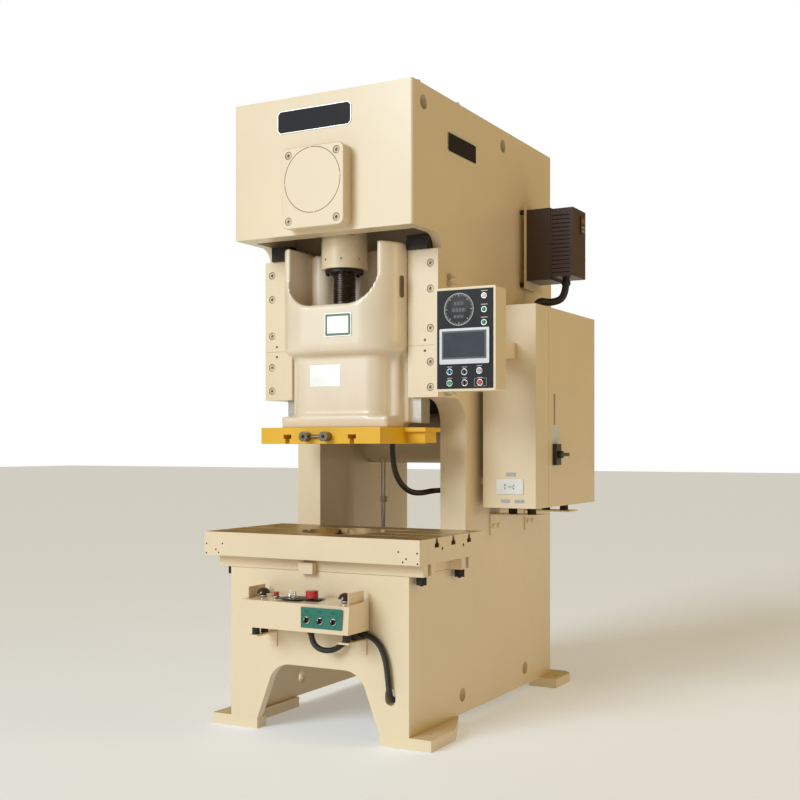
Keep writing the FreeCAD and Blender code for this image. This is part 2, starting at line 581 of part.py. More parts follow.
def bolster():
    """The bolster with three T-slots, a round opening, cut rear corners and its hold-down bolts."""
    half = "bolster_width / 2"
    back = "(bolster_depth - bolster_front)"
    top = "(bed_height + bolster_plate)"
    corners = [
        ("-bolster_front", "bed_height"), (f"{back} - bolster_chamfer_y", "bed_height"),
        (back, "bed_height + bolster_chamfer_z"), (back, top), ("-bolster_front", top),
    ]
    blank = prism("bolster_blank", "YZ", corners, f"-{half}", half)
    tools = [rod("opening", "z", ("0", "0", "bed_height - 1"), "opening_radius", "bolster_plate + 2")]
    reach = (f"-{half} - 1", f"{half} + 1")
    for index, row in enumerate((-1, 0, 1)):
        y = f"{row} * bolster_slot_pitch"
        tools.append(block(f"slot_throat_{index}", reach, (f"{y} - slot_throat / 2", f"{y} + slot_throat / 2"),
                           (f"{top} - bolster_slot_depth + 1", f"{top} + 1")))
        tools.append(block(f"slot_head_{index}", reach, (f"{y} - slot_head / 2", f"{y} + slot_head / 2"),
                           (f"{top} - bolster_slot_depth", f"{top} - bolster_slot_depth + slot_head_height")))
    rows = (("612", "58"), ("512", "61"), ("553", "30"), ("536", "14"), ("614", "9"))
    for side in (-1, 1):
        hand = "right" if side > 0 else "left"
        for index, (x, z) in enumerate(rows):
            start = (f"{side} * {x}", "-bolster_front - 1", f"bed_height + {z}")
            tools.append(rod(f"front_tap_{hand}_{index}", "y", start, "4.5", "19"))
        for index, y in enumerate(("-121", "115")):
            start = (f"{side} * (bolster_width / 2 - 24) - 25", y, "bed_height + 65")
            tools.append(rod(f"side_tap_{hand}_{index}", "x", start, "8", "50"))
    bolts = []
    for row, y in enumerate(("ear_length / 2 - apron_front", "rear_ear_end - ear_length / 2")):
        for side in (-1, 1):
            name = f"hold_down_{row}_{'right' if side > 0 else 'left'}"
            x = f"{side} * ear_bolt_x"
            tools.append(rod(f"{name}_hole", "z", (x, y, "bed_height - 1"), "hold_down_radius + running_gap",
                             "hold_down_grip + 2"))
            low = f"{BED_UNDER} - hold_down_nut_height"
            nut = hexagon(f"{name}_nut", "z", (x, y, low), "hold_down_nut_radius", "hold_down_nut_height")
            shank = rod(f"{name}_shank", "z", (x, y, f"{low} - 6"), "hold_down_radius",
                        "hold_down_nut_height + 6 + bed_plate + hold_down_grip + 1")
            bolts.append(fuse(name, nut, shank))
    node("bolster", cut("bolster_shape", blank, *tools))
    return bolts


# ---------------------------------------------------------------- slide

PLATE_LOW = "(bed_height + bolster_plate + shut_height)"
PLATE_TOP = "(bed_height + bolster_plate + shut_height + slide_plate)"
NECK_TOP = "(bulge_bottom + 20)"


def slide():
    """The slide casting: flange, waisted neck, bulged head with its U-shaped window, and guide wings."""
    half = "flange_width / 2"
    flange = block("flange", (f"-{half}", half), ("-flange_front", "flange_back"),
                   (PLATE_TOP, f"{PLATE_TOP} + flange_height"))
    half = "slide_neck_width / 2"
    neck_outline = [(f"-{half}", "-slide_neck_front"), (half, "-slide_neck_front"), (half, "slide_neck_back"),
                    (f"-{half}", "slide_neck_back")]
    neck = prism("slide_neck", "XY", neck_outline, f"{PLATE_TOP} + flange_height - 1", NECK_TOP,
                 [("slide_neck_radius", [0, 1])])
    half = "bulge_width / 2"
    bulge_outline = [(f"-{half}", "-bulge_front"), (half, "-bulge_front"), (half, "bulge_back"),
                     (f"-{half}", "bulge_back")]
    bulge = prism("slide_bulge", "XY", bulge_outline, "bulge_bottom", "slide_top", [("bulge_radius", [0, 1])])
    soften(bulge, "shoulder_radius", lambda edge: max(v.Point.z for v in edge.Vertexes) < 1e-4
           and min(v.Point.y for v in edge.Vertexes) < size("bulge_back") - 1)
    lean = prism("slide_lean", "YZ", [("-bulge_front - 1", "slope_foot"), ("-slope_front", "slope_top"),
                                      ("-slope_front", "slide_top + 1"), ("-bulge_front - 1", "slide_top + 1")],
                 f"-{half} - 1", f"{half} + 1")
    half = "window_width / 2"
    window_outline = [(f"-{half}", "window_bottom"), (half, "window_bottom"), (half, "slide_top + 1"),
                      (f"-{half}", "slide_top + 1")]
    window = prism("slide_window", "XZ", window_outline, "-bulge_front - 2", "-cavity_front",
                   [("window_radius", [0, 1])])
    cavity = block("slide_cavity", (f"-{half}", half), ("-cavity_front", "cavity_back"),
                   ("window_bottom", "slide_top + 1"))
    wing_half = "wing_plate_width / 2"
    wing_plate = block("wing_plate", (f"-{wing_half}", wing_half), ("wing_plate_front", "bulge_back"),
                       ("wing_bottom", "wing_top"))
    wings = block("wings", ("slide_gap - guide_inner", "guide_inner - slide_gap"),
                  ("neck_reach + slide_gap", "guide_step - slide_gap"), ("wing_bottom", "wing_top"))
    ribs = [rod(f"rib_{side}", "z", (f"{side} * rib_x", "rib_y", PLATE_TOP), "rib_radius",
                f"{NECK_TOP} - {PLATE_TOP}") for side in (-1, 1)]
    outside = cut("slide_outside", fuse("slide_blank", flange, neck, bulge, wing_plate, wings, *ribs), lean,
                  window, cavity)
    boss = rod("boss", "z", ("-boss_x", "boss_y", "window_bottom - 5"), "boss_radius",
               "slide_top - window_bottom - 15")
    cast = fuse("slide_cast", outside, boss)
    pocket_low = "ball_height - ball_radius - stroke / 10 - 2"
    tools = [rod("seat_left", "z", ("0", "0", pocket_low), "ball_radius + slide_gap", f"window_bottom + 5 - ({pocket_low})"),
             rod("seat_right", "z", ("stroke / 2", "0", pocket_low), "ball_radius + slide_gap",
                 f"window_bottom + 5 - ({pocket_low})"),
             block("seat_middle", ("0", "stroke / 2"), ("-ball_radius - slide_gap", "ball_radius + slide_gap"),
                   (pocket_low, "window_bottom + 5"))]
    node("slide", cut("slide_shape", cast, *tools))


def slide_plate():
    """The bottom plate of the slide, with two T-slots, the shank bore and an ear at each side."""
    half = "slide_plate_width / 2"
    deep = "slide_plate_depth / 2"
    plate = block("plate_blank", (f"-{half}", half), (f"-{deep}", deep), (PLATE_LOW, PLATE_TOP))
    ear = block("plate_ear", ("-ear_plate_reach", "ear_plate_reach"), ("ear_plate_start", "ear_plate_end"),
                (f"{PLATE_TOP} - ear_plate", PLATE_TOP))
    under = block("plate_ear_block", ("-ear_block_reach", "ear_block_reach"), ("ear_plate_start + 25", "ear_block_end"),
                  (f"{PLATE_LOW} + ear_block_rise", f"{PLATE_TOP} - ear_plate"))
    tools = [rod("shank_bore", "z", ("0", "0", f"{PLATE_LOW} - 1"), "shank_bore_radius", "slide_plate + 2")]
    run = (f"-{deep} - 1", f"{deep} + 1")
    for side in (-1, 1):
        x = f"{side} * slide_slot_x"
        hand = "right" if side > 0 else "left"
        tools.append(block(f"plate_slot_{hand}", (f"{x} - slot_throat / 2", f"{x} + slot_throat / 2"), run,
                           (f"{PLATE_LOW} - 1", f"{PLATE_LOW} + slot_lip + 1")))
        tools.append(block(f"plate_slot_head_{hand}", (f"{x} - slot_head / 2", f"{x} + slot_head / 2"), run,
                           (f"{PLATE_LOW} + slot_lip", f"{PLATE_LOW} + slot_lip + slot_head_height")))
    node("slide_plate", cut("slide_plate_shape", fuse("slide_plate_blank", plate, ear, under), *tools))

    z = f"{PLATE_LOW} + clamp_height"
    front = f"-{deep} - clamp_length"
    knobs = []
    for side in (-1, 1):
        knobs.append(rod(f"knob_{side}", "y", (f"{side} * clamp_spacing / 2 - 8", front, z), "clamp_radius",
                         "clamp_length"))
    bar = rod("knob_bar", "x", ("-clamp_spacing / 2 - 8", f"-{deep} - 14", z), "9", "clamp_spacing")
    node("slide_clamps", fuse("shank_clamp", bar, *knobs))


# ---------------------------------------------------------------- crank, rod and drive

PIN_HEIGHT = "(crank_height - stroke / 2)"


def crankshaft():
    """One journal at the front, two behind, and an offset pin between two webs."""
    journal = rod("front_journal", "y", ("0", "-head_reach", "crank_height"), "journal_radius",
                  "head_reach - web_front + 1")
    rear = rod("rear_journal", "y", ("0", "web_front - 1", "crank_height"), "journal_radius",
               "middle_wall + wall_plate - web_front + 1")
    pin = rod("crank_pin", "y", ("0", "-web_front + 1", PIN_HEIGHT), "pin_radius", "2 * web_front - 2")
    webs = []
    for index, y in enumerate(("-web_front", "web_front - web_plate")):
        webs.append(rod(f"web_top_{index}", "y", ("0", y, "crank_height"), "web_radius", "web_plate"))
        webs.append(rod(f"web_foot_{index}", "y", ("0", y, PIN_HEIGHT), "web_radius", "web_plate"))
        webs.append(block(f"web_side_{index}", ("-web_radius", "web_radius"), (y, f"{y} + web_plate"),
                          (PIN_HEIGHT, "crank_height")))
    node("crankshaft", fuse("crankshaft_shape", journal, rear, pin, *webs))


def toothed(name, teeth, width, bore, first_angle):
    """A spur wheel with straight-flanked teeth, thin enough to leave backlash all the way round."""
    module = size("module_size")
    pitch = module * teeth / 2
    tip = pitch + 0.85 * module
    root = pitch - 1.25 * module
    step = 2 * math.pi / teeth
    points = []
    for i in range(teeth):
        middle = first_angle + i * step
        for radius, share in ((root, 0.33), (tip, 0.11), (tip, -0.11), (root, -0.33)):
            angle = middle - share * step
            points.append(Vector(radius * math.cos(angle), 0, radius * math.sin(angle)))
    points.append(points[0])
    wheel = Part.Face(Part.Wire(Part.makePolygon(points))).extrude(Vector(0, width, 0))
    hole = Part.makeCylinder(bore, width + 2, Vector(0, -1, 0), Vector(0, 1, 0))
    return shape_object(name, wheel.cut(hole))


def gears():
    """The large gear on the crankshaft and the pinion that is cut in one piece with its shaft."""
    wheel = toothed("main_wheel", int(size("gear_teeth")), size("gear_width"), size("journal_radius"), 0.0)
    dish = rod("dish_outer", "y", ("0", "-1", "0"), "module_size * gear_teeth / 2 - 55", "31")
    dish_core = rod("dish_core", "y", ("0", "-2", "0"), "journal_radius + 55", "40")
    hollow = cut("wheel_dish", dish, dish_core)
    dished = cut("main_gear_shape", wheel, hollow)
    node("main_gear", put(dished, "0", "gear_front", "crank_height"))

    teeth = toothed("pinion_teeth_shape", int(size("pinion_teeth")), size("gear_width") + 10,
                    size("shaft_radius") - 5, math.pi / 2)
    put(teeth, "0", "gear_front - 5", PINION_HEIGHT)
    shaft = rod("pinion_bar", "y", ("0", "guide_back", PINION_HEIGHT), "shaft_radius", "shaft_rear - guide_back")
    node("pinion_shaft", fuse("pinion_shaft_shape", teeth, shaft))


def flywheel():
    """The flywheel with its rim, thin web and hub, and the belt pulley of the motor."""
    width = "flywheel_width"
    inner = "flywheel_radius - rim_depth"
    low = "(flywheel_width / 2 - web_thickness / 2)"
    high = "(flywheel_width / 2 + web_thickness / 2)"
    bore = "shaft_radius + running_gap"
    profile = [
        ("0", bore), (width, bore), (width, "hub_radius"), (high, "hub_radius"), (high, inner),
        (width, inner), (width, "flywheel_radius"), ("0", "flywheel_radius"), ("0", inner), (low, inner),
        (low, "hub_radius"), ("0", "hub_radius"),
    ]
    node("flywheel", turned("flywheel_body", profile, "y", ("0", "flywheel_front", PINION_HEIGHT)))
    width = "belt_pitch * belt_count"
    profile = [("0", "motor_shaft_radius"), (width, "motor_shaft_radius"), (width, "pulley_radius"),
               ("0", "pulley_radius")]
    node("motor_pulley", turned("motor_pulley_body", profile, "y", ("0", "belt_front - 2", "motor_height")))


def belts():
    """Four belts around the flywheel and the motor pulley; each is one closed loop."""
    gap = size("slide_gap") + 0.2
    thick = size("belt_thickness")
    width = size("belt_width")
    high = size("crank_height") - size("module_size") * (size("gear_teeth") + size("pinion_teeth")) / 2
    low = size("motor_height")
    apart = high - low
    big = size("flywheel_radius") + gap
    small = size("pulley_radius") + gap

    def loop(extra, y, depth):
        top = big + extra
        bottom = small + extra
        lean = math.asin((top - bottom) / apart)
        side = Vector(math.cos(lean), 0, -math.sin(lean))
        upper = Vector(0, y, high)
        lower = Vector(0, y, low)
        left = Vector(-side.x, 0, side.z)
        points = [upper + side * top, upper + Vector(0, 0, top), upper + left * top]
        feet = [lower + left * bottom, lower - Vector(0, 0, bottom), lower + side * bottom]
        edges = [Part.Arc(*points).toShape(), Part.LineSegment(points[2], feet[0]).toShape(),
                 Part.Arc(*feet).toShape(), Part.LineSegment(feet[2], points[0]).toShape()]
        return Part.Face(Part.Wire(edges)).extrude(Vector(0, depth, 0))

    loops = []
    for index in range(int(size("belt_count"))):
        y = size("belt_front") + index * size("belt_pitch")
        loops.append(loop(thick, y, width).cut(loop(0, y - 1, width + 2)))
    node("v_belts", shape_object("belt_loops", Part.makeCompound(loops)))


def motor():
    """The main motor under the pinion shaft, with its shaft and terminal box."""
    barrel = rod("motor_barrel", "y", ("0", "motor_front", "motor_height"), "motor_radius", "motor_length")
    shaft = rod("motor_shaft", "y", ("0", "motor_front + motor_length - 1", "motor_height"),
                "motor_shaft_radius - running_gap", "belt_front + belt_pitch * belt_count - motor_front - motor_length")
    box = block("terminal_box", ("-70", "70"), ("motor_front + 60", "motor_front + 190"),
                ("motor_height + motor_radius - 20", "motor_height + motor_radius + 60"))
    feet = block("motor_feet", ("-130", "130"), ("motor_front + 50", "motor_front + motor_length - 50"),
                 (MOTOR_FOOT, "motor_height - 80"))
    node("main_motor", fuse("motor_shape", barrel, shaft, box, feet))


def rear_guard():
    """A sheet pan with louvres that closes the back of the frame over the flywheel."""
    y = ("frame_rear", "frame_rear + guard_depth")
    shell = block("guard_outside", ("-guard_reach", "guard_reach"), y, ("guard_bottom", "guard_top"))
    hollow = block("guard_inside", ("guard_sheet - guard_reach", "guard_reach - guard_sheet"),
                   ("frame_rear - 1", "frame_rear + guard_depth - guard_sheet"),
                   ("guard_bottom + guard_sheet", "guard_top - guard_sheet"))
    tools = [hollow]
    for index in range(int(size("louvre_count"))):
        for side in (-1, 1):
            x = f"{side} * (louvre_width / 2 + 40)"
            low = f"louvre_start + {index} * louvre_pitch"
            tools.append(block(f"louvre_{index}_{'right' if side > 0 else 'left'}",
                               (f"{x} - louvre_width / 2", f"{x} + louvre_width / 2"),
                               ("frame_rear + guard_depth - guard_sheet - 1", "frame_rear + guard_depth + 1"),
                               (low, f"{low} + louvre_height")))
    node("rear_guard", cut("guard_shape", shell, *tools))


def receiver():
    """The air tank across the throat, with domed ends and a lug to each cheek."""
    half = "tank_length / 2"
    flat = "tank_radius - 60"
    profile = [
        (f"-{half}", "0"), (half, "0"), (half, flat), (f"{half} - tank_dome / 3", "tank_radius - 20"),
        (f"{half} - tank_dome", "tank_radius"), (f"tank_dome - {half}", "tank_radius"),
        (f"tank_dome / 3 - {half}", "tank_radius - 20"), (f"-{half}", flat),
    ]
    tank = turned("tank", profile, "x", ("0", "tank_y", "tank_z"))
    air = rod("tank_air", "x", ("tank_dome - tank_length / 2", "tank_y", "tank_z"), "tank_radius - tank_wall",
              "tank_length - 2 * tank_dome")
    lugs = [block(f"tank_lug_{index}", x, ("tank_y - 35", "tank_y + 35"), ("tank_z - 20", "tank_z + 20"))
            for index, x in enumerate((("tank_length / 2 - 10", INNER), (f"-{INNER}", "10 - tank_length / 2")))]
    socket = rod("tank_socket", "z", ("-riser_x", "riser_y", "riser_top"), "riser_radius + 8", "60")
    node("air_receiver", cut("tank_hollow", fuse("tank_shape", tank, socket, *lugs), air))


def connecting_rod():
    """Big end, round drum with a cap, lock ring with screws, and the screw that ends in a ball."""
    half = "rod_width / 2"
    end = rod("big_end", "y", ("0", f"-{half}", PIN_HEIGHT), "big_end_radius", "rod_width")
    drum = rod("drum", "z", ("0", "0", "drum_bottom"), "drum_radius", f"{PIN_HEIGHT} - big_end_radius - drum_bottom + 30")
    cap = rod("drum_cap", "z", ("0", "0", "drum_bottom"), "drum_cap_radius", "drum_seam - drum_bottom")
    neck = block("rod_neck", ("-drum_radius + 15", "drum_radius - 15"), (f"-{half}", half), ("drum_seam", PIN_HEIGHT))
    bore = rod("big_end_bore", "y", ("0", f"-{half} - 60", PIN_HEIGHT), "pin_radius + running_gap", "rod_width + 120")
    trims = [block("trim_front", ("-200", "200"), ("-200", f"-{half}"), ("drum_seam + 15", "crank_height + 100")),
             block("trim_back", ("-200", "200"), (half, "200"), ("drum_seam + 15", "crank_height + 100"))]
    node("connecting_rod", cut("rod_shape", fuse("rod_blank", end, drum, cap, neck), bore, *trims))

    ring = rod("ring_plate", "z", ("0", "0", "drum_bottom - ring_height"), "ring_radius", "ring_height")
    hole = rod("ring_hole", "z", ("0", "0", "drum_bottom - ring_height - 1"), "screw_radius", "ring_height + 2")
    heads = []
    for index in range(8):
        angle = math.radians(22.5 + index * 45)
        x = f"ring_screw_circle * {math.cos(angle):.6f}"
        y = f"ring_screw_circle * {math.sin(angle):.6f}"
        heads.append(rod(f"ring_screw_{index}", "z", (x, y, "drum_bottom - ring_height - 11"),
                         "ring_screw_radius", "11"))
    node("lock_ring", group("lock_ring_shape", cut("ring_body", ring, hole), *heads))

    thread = rod("thread", "z", ("0", "0", "ball_height"), "screw_radius", "drum_bottom - ball_height")
    ball = doc.addObject("Part::Sphere", "ball")
    bind(ball, Radius="ball_radius")
    put(ball, "0", "0", "ball_height")
    node("adjusting_screw", fuse("adjusting_screw_shape", thread, ball))


# ---------------------------------------------------------------- control panel and cabinet

def panel():
    """The control panel box on its duct, its face plate, buttons and selectors."""
    y_back = "panel_depth - panel_front"
    right = "(panel_left + panel_width)"
    top = "(panel_bottom + panel_height)"
    corners = [("panel_left", "panel_bottom"), (right, "panel_bottom"), (right, top), ("panel_left", top)]
    case = prism("panel_case", "XZ", corners, "-panel_front", y_back, [("panel_radius", [0, 1, 2, 3])])
    duct = block("panel_duct", ("duct_left", "duct_left + duct_width"), (y_back, "cabinet_front"),
                 ("duct_bottom", "duct_bottom + duct_height"))
    bore_length = "face_plate + panel_button_travel + 12"
    spots = {
        "panel_grey_button": ("838", "1801"), "panel_green_button": ("682", "1745"),
        "panel_red_button": ("841", "1745"), "panel_blue_selector": ("682", "1799"),
        "panel_small_selector": ("760", "1797"), "panel_key_selector": ("762", "1745"),
    }
    face_front = "(-panel_front - face_plate)"
    hollow = block("panel_inside", ("panel_left + box_sheet", f"{right} - box_sheet"),
                   ("box_sheet - panel_front", f"{y_back} - box_sheet"),
                   ("panel_bottom + box_sheet", f"{top} - box_sheet"))
    holes = [hollow]
    for name, (x, z) in spots.items():
        holes.append(rod(f"{name}_hole", "y", (x, f"{face_front} - 1", z),
                         "panel_button_radius + slide_gap", bore_length))
    node("panel_box", cut("panel_box_shape", fuse("panel_blank", case, duct), *holes))
    plate = block("face_blank", ("panel_left + face_margin", f"{right} - face_margin"), (face_front, "-panel_front"),
                  ("panel_bottom + face_margin", f"{top} - face_margin"))
    face_holes = [rod(f"{name}_opening", "y", (x, f"{face_front} - 1", z), "panel_button_radius + slide_gap", "8")
                  for name, (x, z) in spots.items()]
    node("panel_face", cut("panel_face_shape", plate, *face_holes))
    for name, (x, z) in spots.items():
        start = (x, f"{face_front} - panel_button_length + 6", z)
        stem = rod(f"{name}_stem", "y", start, "panel_button_radius", "panel_button_length")
        if name.endswith("selector"):
            grip = block(f"{name}_grip", (f"{x} - 3", f"{x} + 3"), (f"({start[1]}) - 7", f"({start[1]}) + 1"),
                         (f"{z} - 10", f"{z} + 10"))
            node(name, fuse(f"{name}_shape", stem, grip))
        else:
            node(name, stem)


def cabinet():
    """The electrical cabinet, a sheet shell with its door on the outer side."""
    left = "cabinet_left"
    right = "(cabinet_left + cabinet_width)"
    shell_right = f"({right} - door_sheet)"
    back = "(cabinet_front + cabinet_depth)"
    top = "(cabinet_bottom + cabinet_height)"
    shell = block("shell_blank", (left, shell_right), ("cabinet_front", back), ("cabinet_bottom", top))
    hollow = block("shell_hollow", (f"{left} + cabinet_sheet", f"{shell_right} + 1"),
                   ("door_start + 12", f"{back} - cabinet_sheet"),
                   ("cabinet_bottom + cabinet_sheet", f"{top} - cabinet_sheet"))
    nose = block("shell_nose", (f"{shell_right} - 1", right), ("cabinet_front", "door_start"),
                 ("cabinet_bottom", top))
    front_hollow = block("front_hollow", (f"{left} + cabinet_sheet", f"{right} - cabinet_sheet"),
                         ("cabinet_front + cabinet_sheet", "door_start - cabinet_sheet"),
                         ("cabinet_bottom + cabinet_sheet", f"{top} - cabinet_sheet"))
    link = block("front_link", (f"{left} + 30", f"{shell_right} - 30"), ("door_start - 30", "door_start + 20"),
                 ("cabinet_bottom + 30", f"{top} - 30"))
    standoffs = [block(f"standoff_{index}", (OUTER, left), ("cabinet_front + 60", f"{back} - 60"), (z, f"{z} + 40"))
                 for index, z in enumerate(("cabinet_bottom + 120", f"{top} - 160"))]
    node("cabinet_shell", fuse("cabinet_shell_shape",
                               cut("shell_open", fuse("shell_outside", shell, nose), hollow, front_hollow, link),
                               *standoffs))
    door_y = ("door_start + door_gap", back)
    door_z = ("cabinet_bottom", top)
    door = block("door_outside", (f"{shell_right} + slide_gap", right), door_y, door_z)
    inside = block("door_inside", (f"{shell_right} - 1", f"{right} - door_skin"),
                   (f"{door_y[0]} + door_skin", f"{back} - door_skin"),
                   ("cabinet_bottom + door_skin", f"{top} - door_skin"))
    handle_low = "handle_bottom"
    recess = [block("handle_slot", (f"{right} - door_skin - 1", f"{right} + 1"),
                    ("handle_y - handle_width / 2 - slide_gap", "handle_y + handle_width / 2 + slide_gap"),
                    (f"{handle_low} - slide_gap", f"{handle_low} + handle_length + slide_gap"))]
    base = block("lever_base", (right, f"{right} + lever_base_depth"),
                 ("lever_y - lever_base_width / 2", "lever_y + lever_base_width / 2"),
                 ("lever_z - lever_base_height / 2", "lever_z + lever_base_height / 2"))
    node("cabinet_door", fuse("door_with_switch", cut("door_shape", door, inside, *recess), base))
    plate = block("handle_plate", (f"{right} - handle_depth", f"{right} + 1"),
                  ("handle_y - handle_width / 2", "handle_y + handle_width / 2"),
                  (handle_low, f"{handle_low} + handle_length"))
    node("door_handle", plate)

    hub = rod("lever_hub", "x", (f"{right} + lever_base_depth + slide_gap", "lever_y", "lever_z"), "lever_hub_radius",
              "lever_depth")
    bar = block("lever_bar", (f"{right} + lever_base_depth + slide_gap + 4", f"{right} + lever_base_depth + lever_depth"),
                ("lever_y", "lever_y + lever_length"), ("lever_z - 9", "lever_z + 9"))
    node("disconnect_lever", fuse("lever_shape", hub, bar))


def outlet():
    """Socket outlet on the front of the cabinet: a plate with two rows of pin slots."""
    plate = block("outlet_blank", ("outlet_left", "outlet_left + outlet_width"),
                  ("cabinet_front - outlet_plate", "cabinet_front"), ("outlet_bottom", "outlet_bottom + outlet_height"))
    slots = []
    for index, x in enumerate((48, 62, 92, 106)):
        slots.append(block(f"outlet_slot_{index}", (f"outlet_left + {x} - 2", f"outlet_left + {x} + 2"),
                           ("cabinet_front - outlet_plate - 1", "cabinet_front - 2"),
                           (f"outlet_bottom + {36 if index < 2 else 30}", f"outlet_bottom + {48 if index < 2 else 42}")))
    node("socket_outlet", cut("outlet_shape", plate, *slots))


def cabinet_brackets():
    """Two angle brackets below the cabinet with rubber mounts."""
    parts = []
    rubber = []
    top = "(cabinet_bottom - mount_height)"
    for index, y in enumerate(("front_bracket_y", "rear_bracket_y")):
        span = (y, f"{y} + bracket_width")
        shelf = block(f"shelf_{index}", (OUTER, f"{OUTER} + bracket_reach"), span, (f"{top} - bracket_plate", top))
        leg = block(f"shelf_leg_{index}", (OUTER, f"{OUTER} + bracket_plate"), span, (f"{top} - bracket_drop", top))
        heads = [rod(f"shelf_bolt_{index}_{k}", "x", (f"{OUTER} + bracket_plate", f"{y} + {along_y}", f"{top} - 70"),
                     "13", "10") for k, along_y in enumerate((34, 101))]
        parts.append(fuse(f"shelf_angle_{index}", shelf, leg, *heads))
        for k, x in enumerate((110, 220)):
            rubber.append(rod(f"shelf_mount_{index}_{k}", "z", (f"{OUTER} + {x}", f"{y} + bracket_width / 2", top),
                              "mount_radius", "mount_height"))
    node("cabinet_mounts", group("shelves", *parts, *rubber))


def drive_unit():
    """The motor drive on its plate: a heat sink, a grooved cover and its conduit to the cabinet."""
    left = "drive_plate_left"
    y = ("drive_plate_front", "drive_plate_front + drive_plate_depth")
    plate = block("drive_plate_blank", (left, f"{left} + drive_plate"), y,
                  ("drive_plate_bottom", "drive_plate_bottom + drive_plate_height"))
    posts = []
    for row, z in enumerate(("drive_plate_bottom + 25", "drive_plate_bottom + drive_plate_height - 25")):
        for k, across in enumerate((25, 225)):
            posts.append(rod(f"drive_post_{row}_{k}", "x", (OUTER, f"drive_plate_front + {across}", z), "14",
                             f"{left} - {OUTER}"))
    node("drive_bracket", fuse("drive_bracket_shape", plate, *posts))
    start = f"({left} + drive_plate)"
    span = ("drive_plate_front", "drive_plate_front + sink_depth")
    sink = block("sink", (start, f"{start} + sink_width"), span, ("sink_bottom", "sink_bottom + sink_height"))
    low = "(sink_bottom + drive_cover_drop)"
    high = "(sink_bottom + sink_height - drive_cover_drop / 2)"
    cover_span = (f"{start} + sink_width", f"{start} + sink_width + drive_cover_width")
    case = block("drive_cover", cover_span, (f"{span[0]} + 3", f"{span[1]} - 3"), (low, high))
    grooves = []
    for index in range(int(size("fin_count"))):
        z = f"{low} + 20 + {index} * (sink_height - drive_cover_drop * 1.5 - 40) / fin_count"
        grooves.append(block(f"groove_{index}", (f"{cover_span[0]} + 8", f"{cover_span[1]} - 20"),
                             (f"{span[0]} + 2", f"{span[0]} + 3 + fin_groove_depth"), (z, f"{z} + fin_groove")))
        across = f"{span[0]} + 8 + {index} * (sink_depth - 16) / fin_count"
        grooves.append(block(f"sink_groove_{index}", (f"{start} + 10", f"{start} + sink_width - 10"),
                             (across, f"{across} + fin_groove"), ("sink_bottom + sink_height - 30",
                                                                  "sink_bottom + sink_height + 1")))
    node("drive_unit", cut("drive_shape", fuse("drive_blank", sink, case), *grooves))


# ---------------------------------------------------------------- console, conduits, fittings

CONSOLE_TOP = "(console_bottom + console_height)"


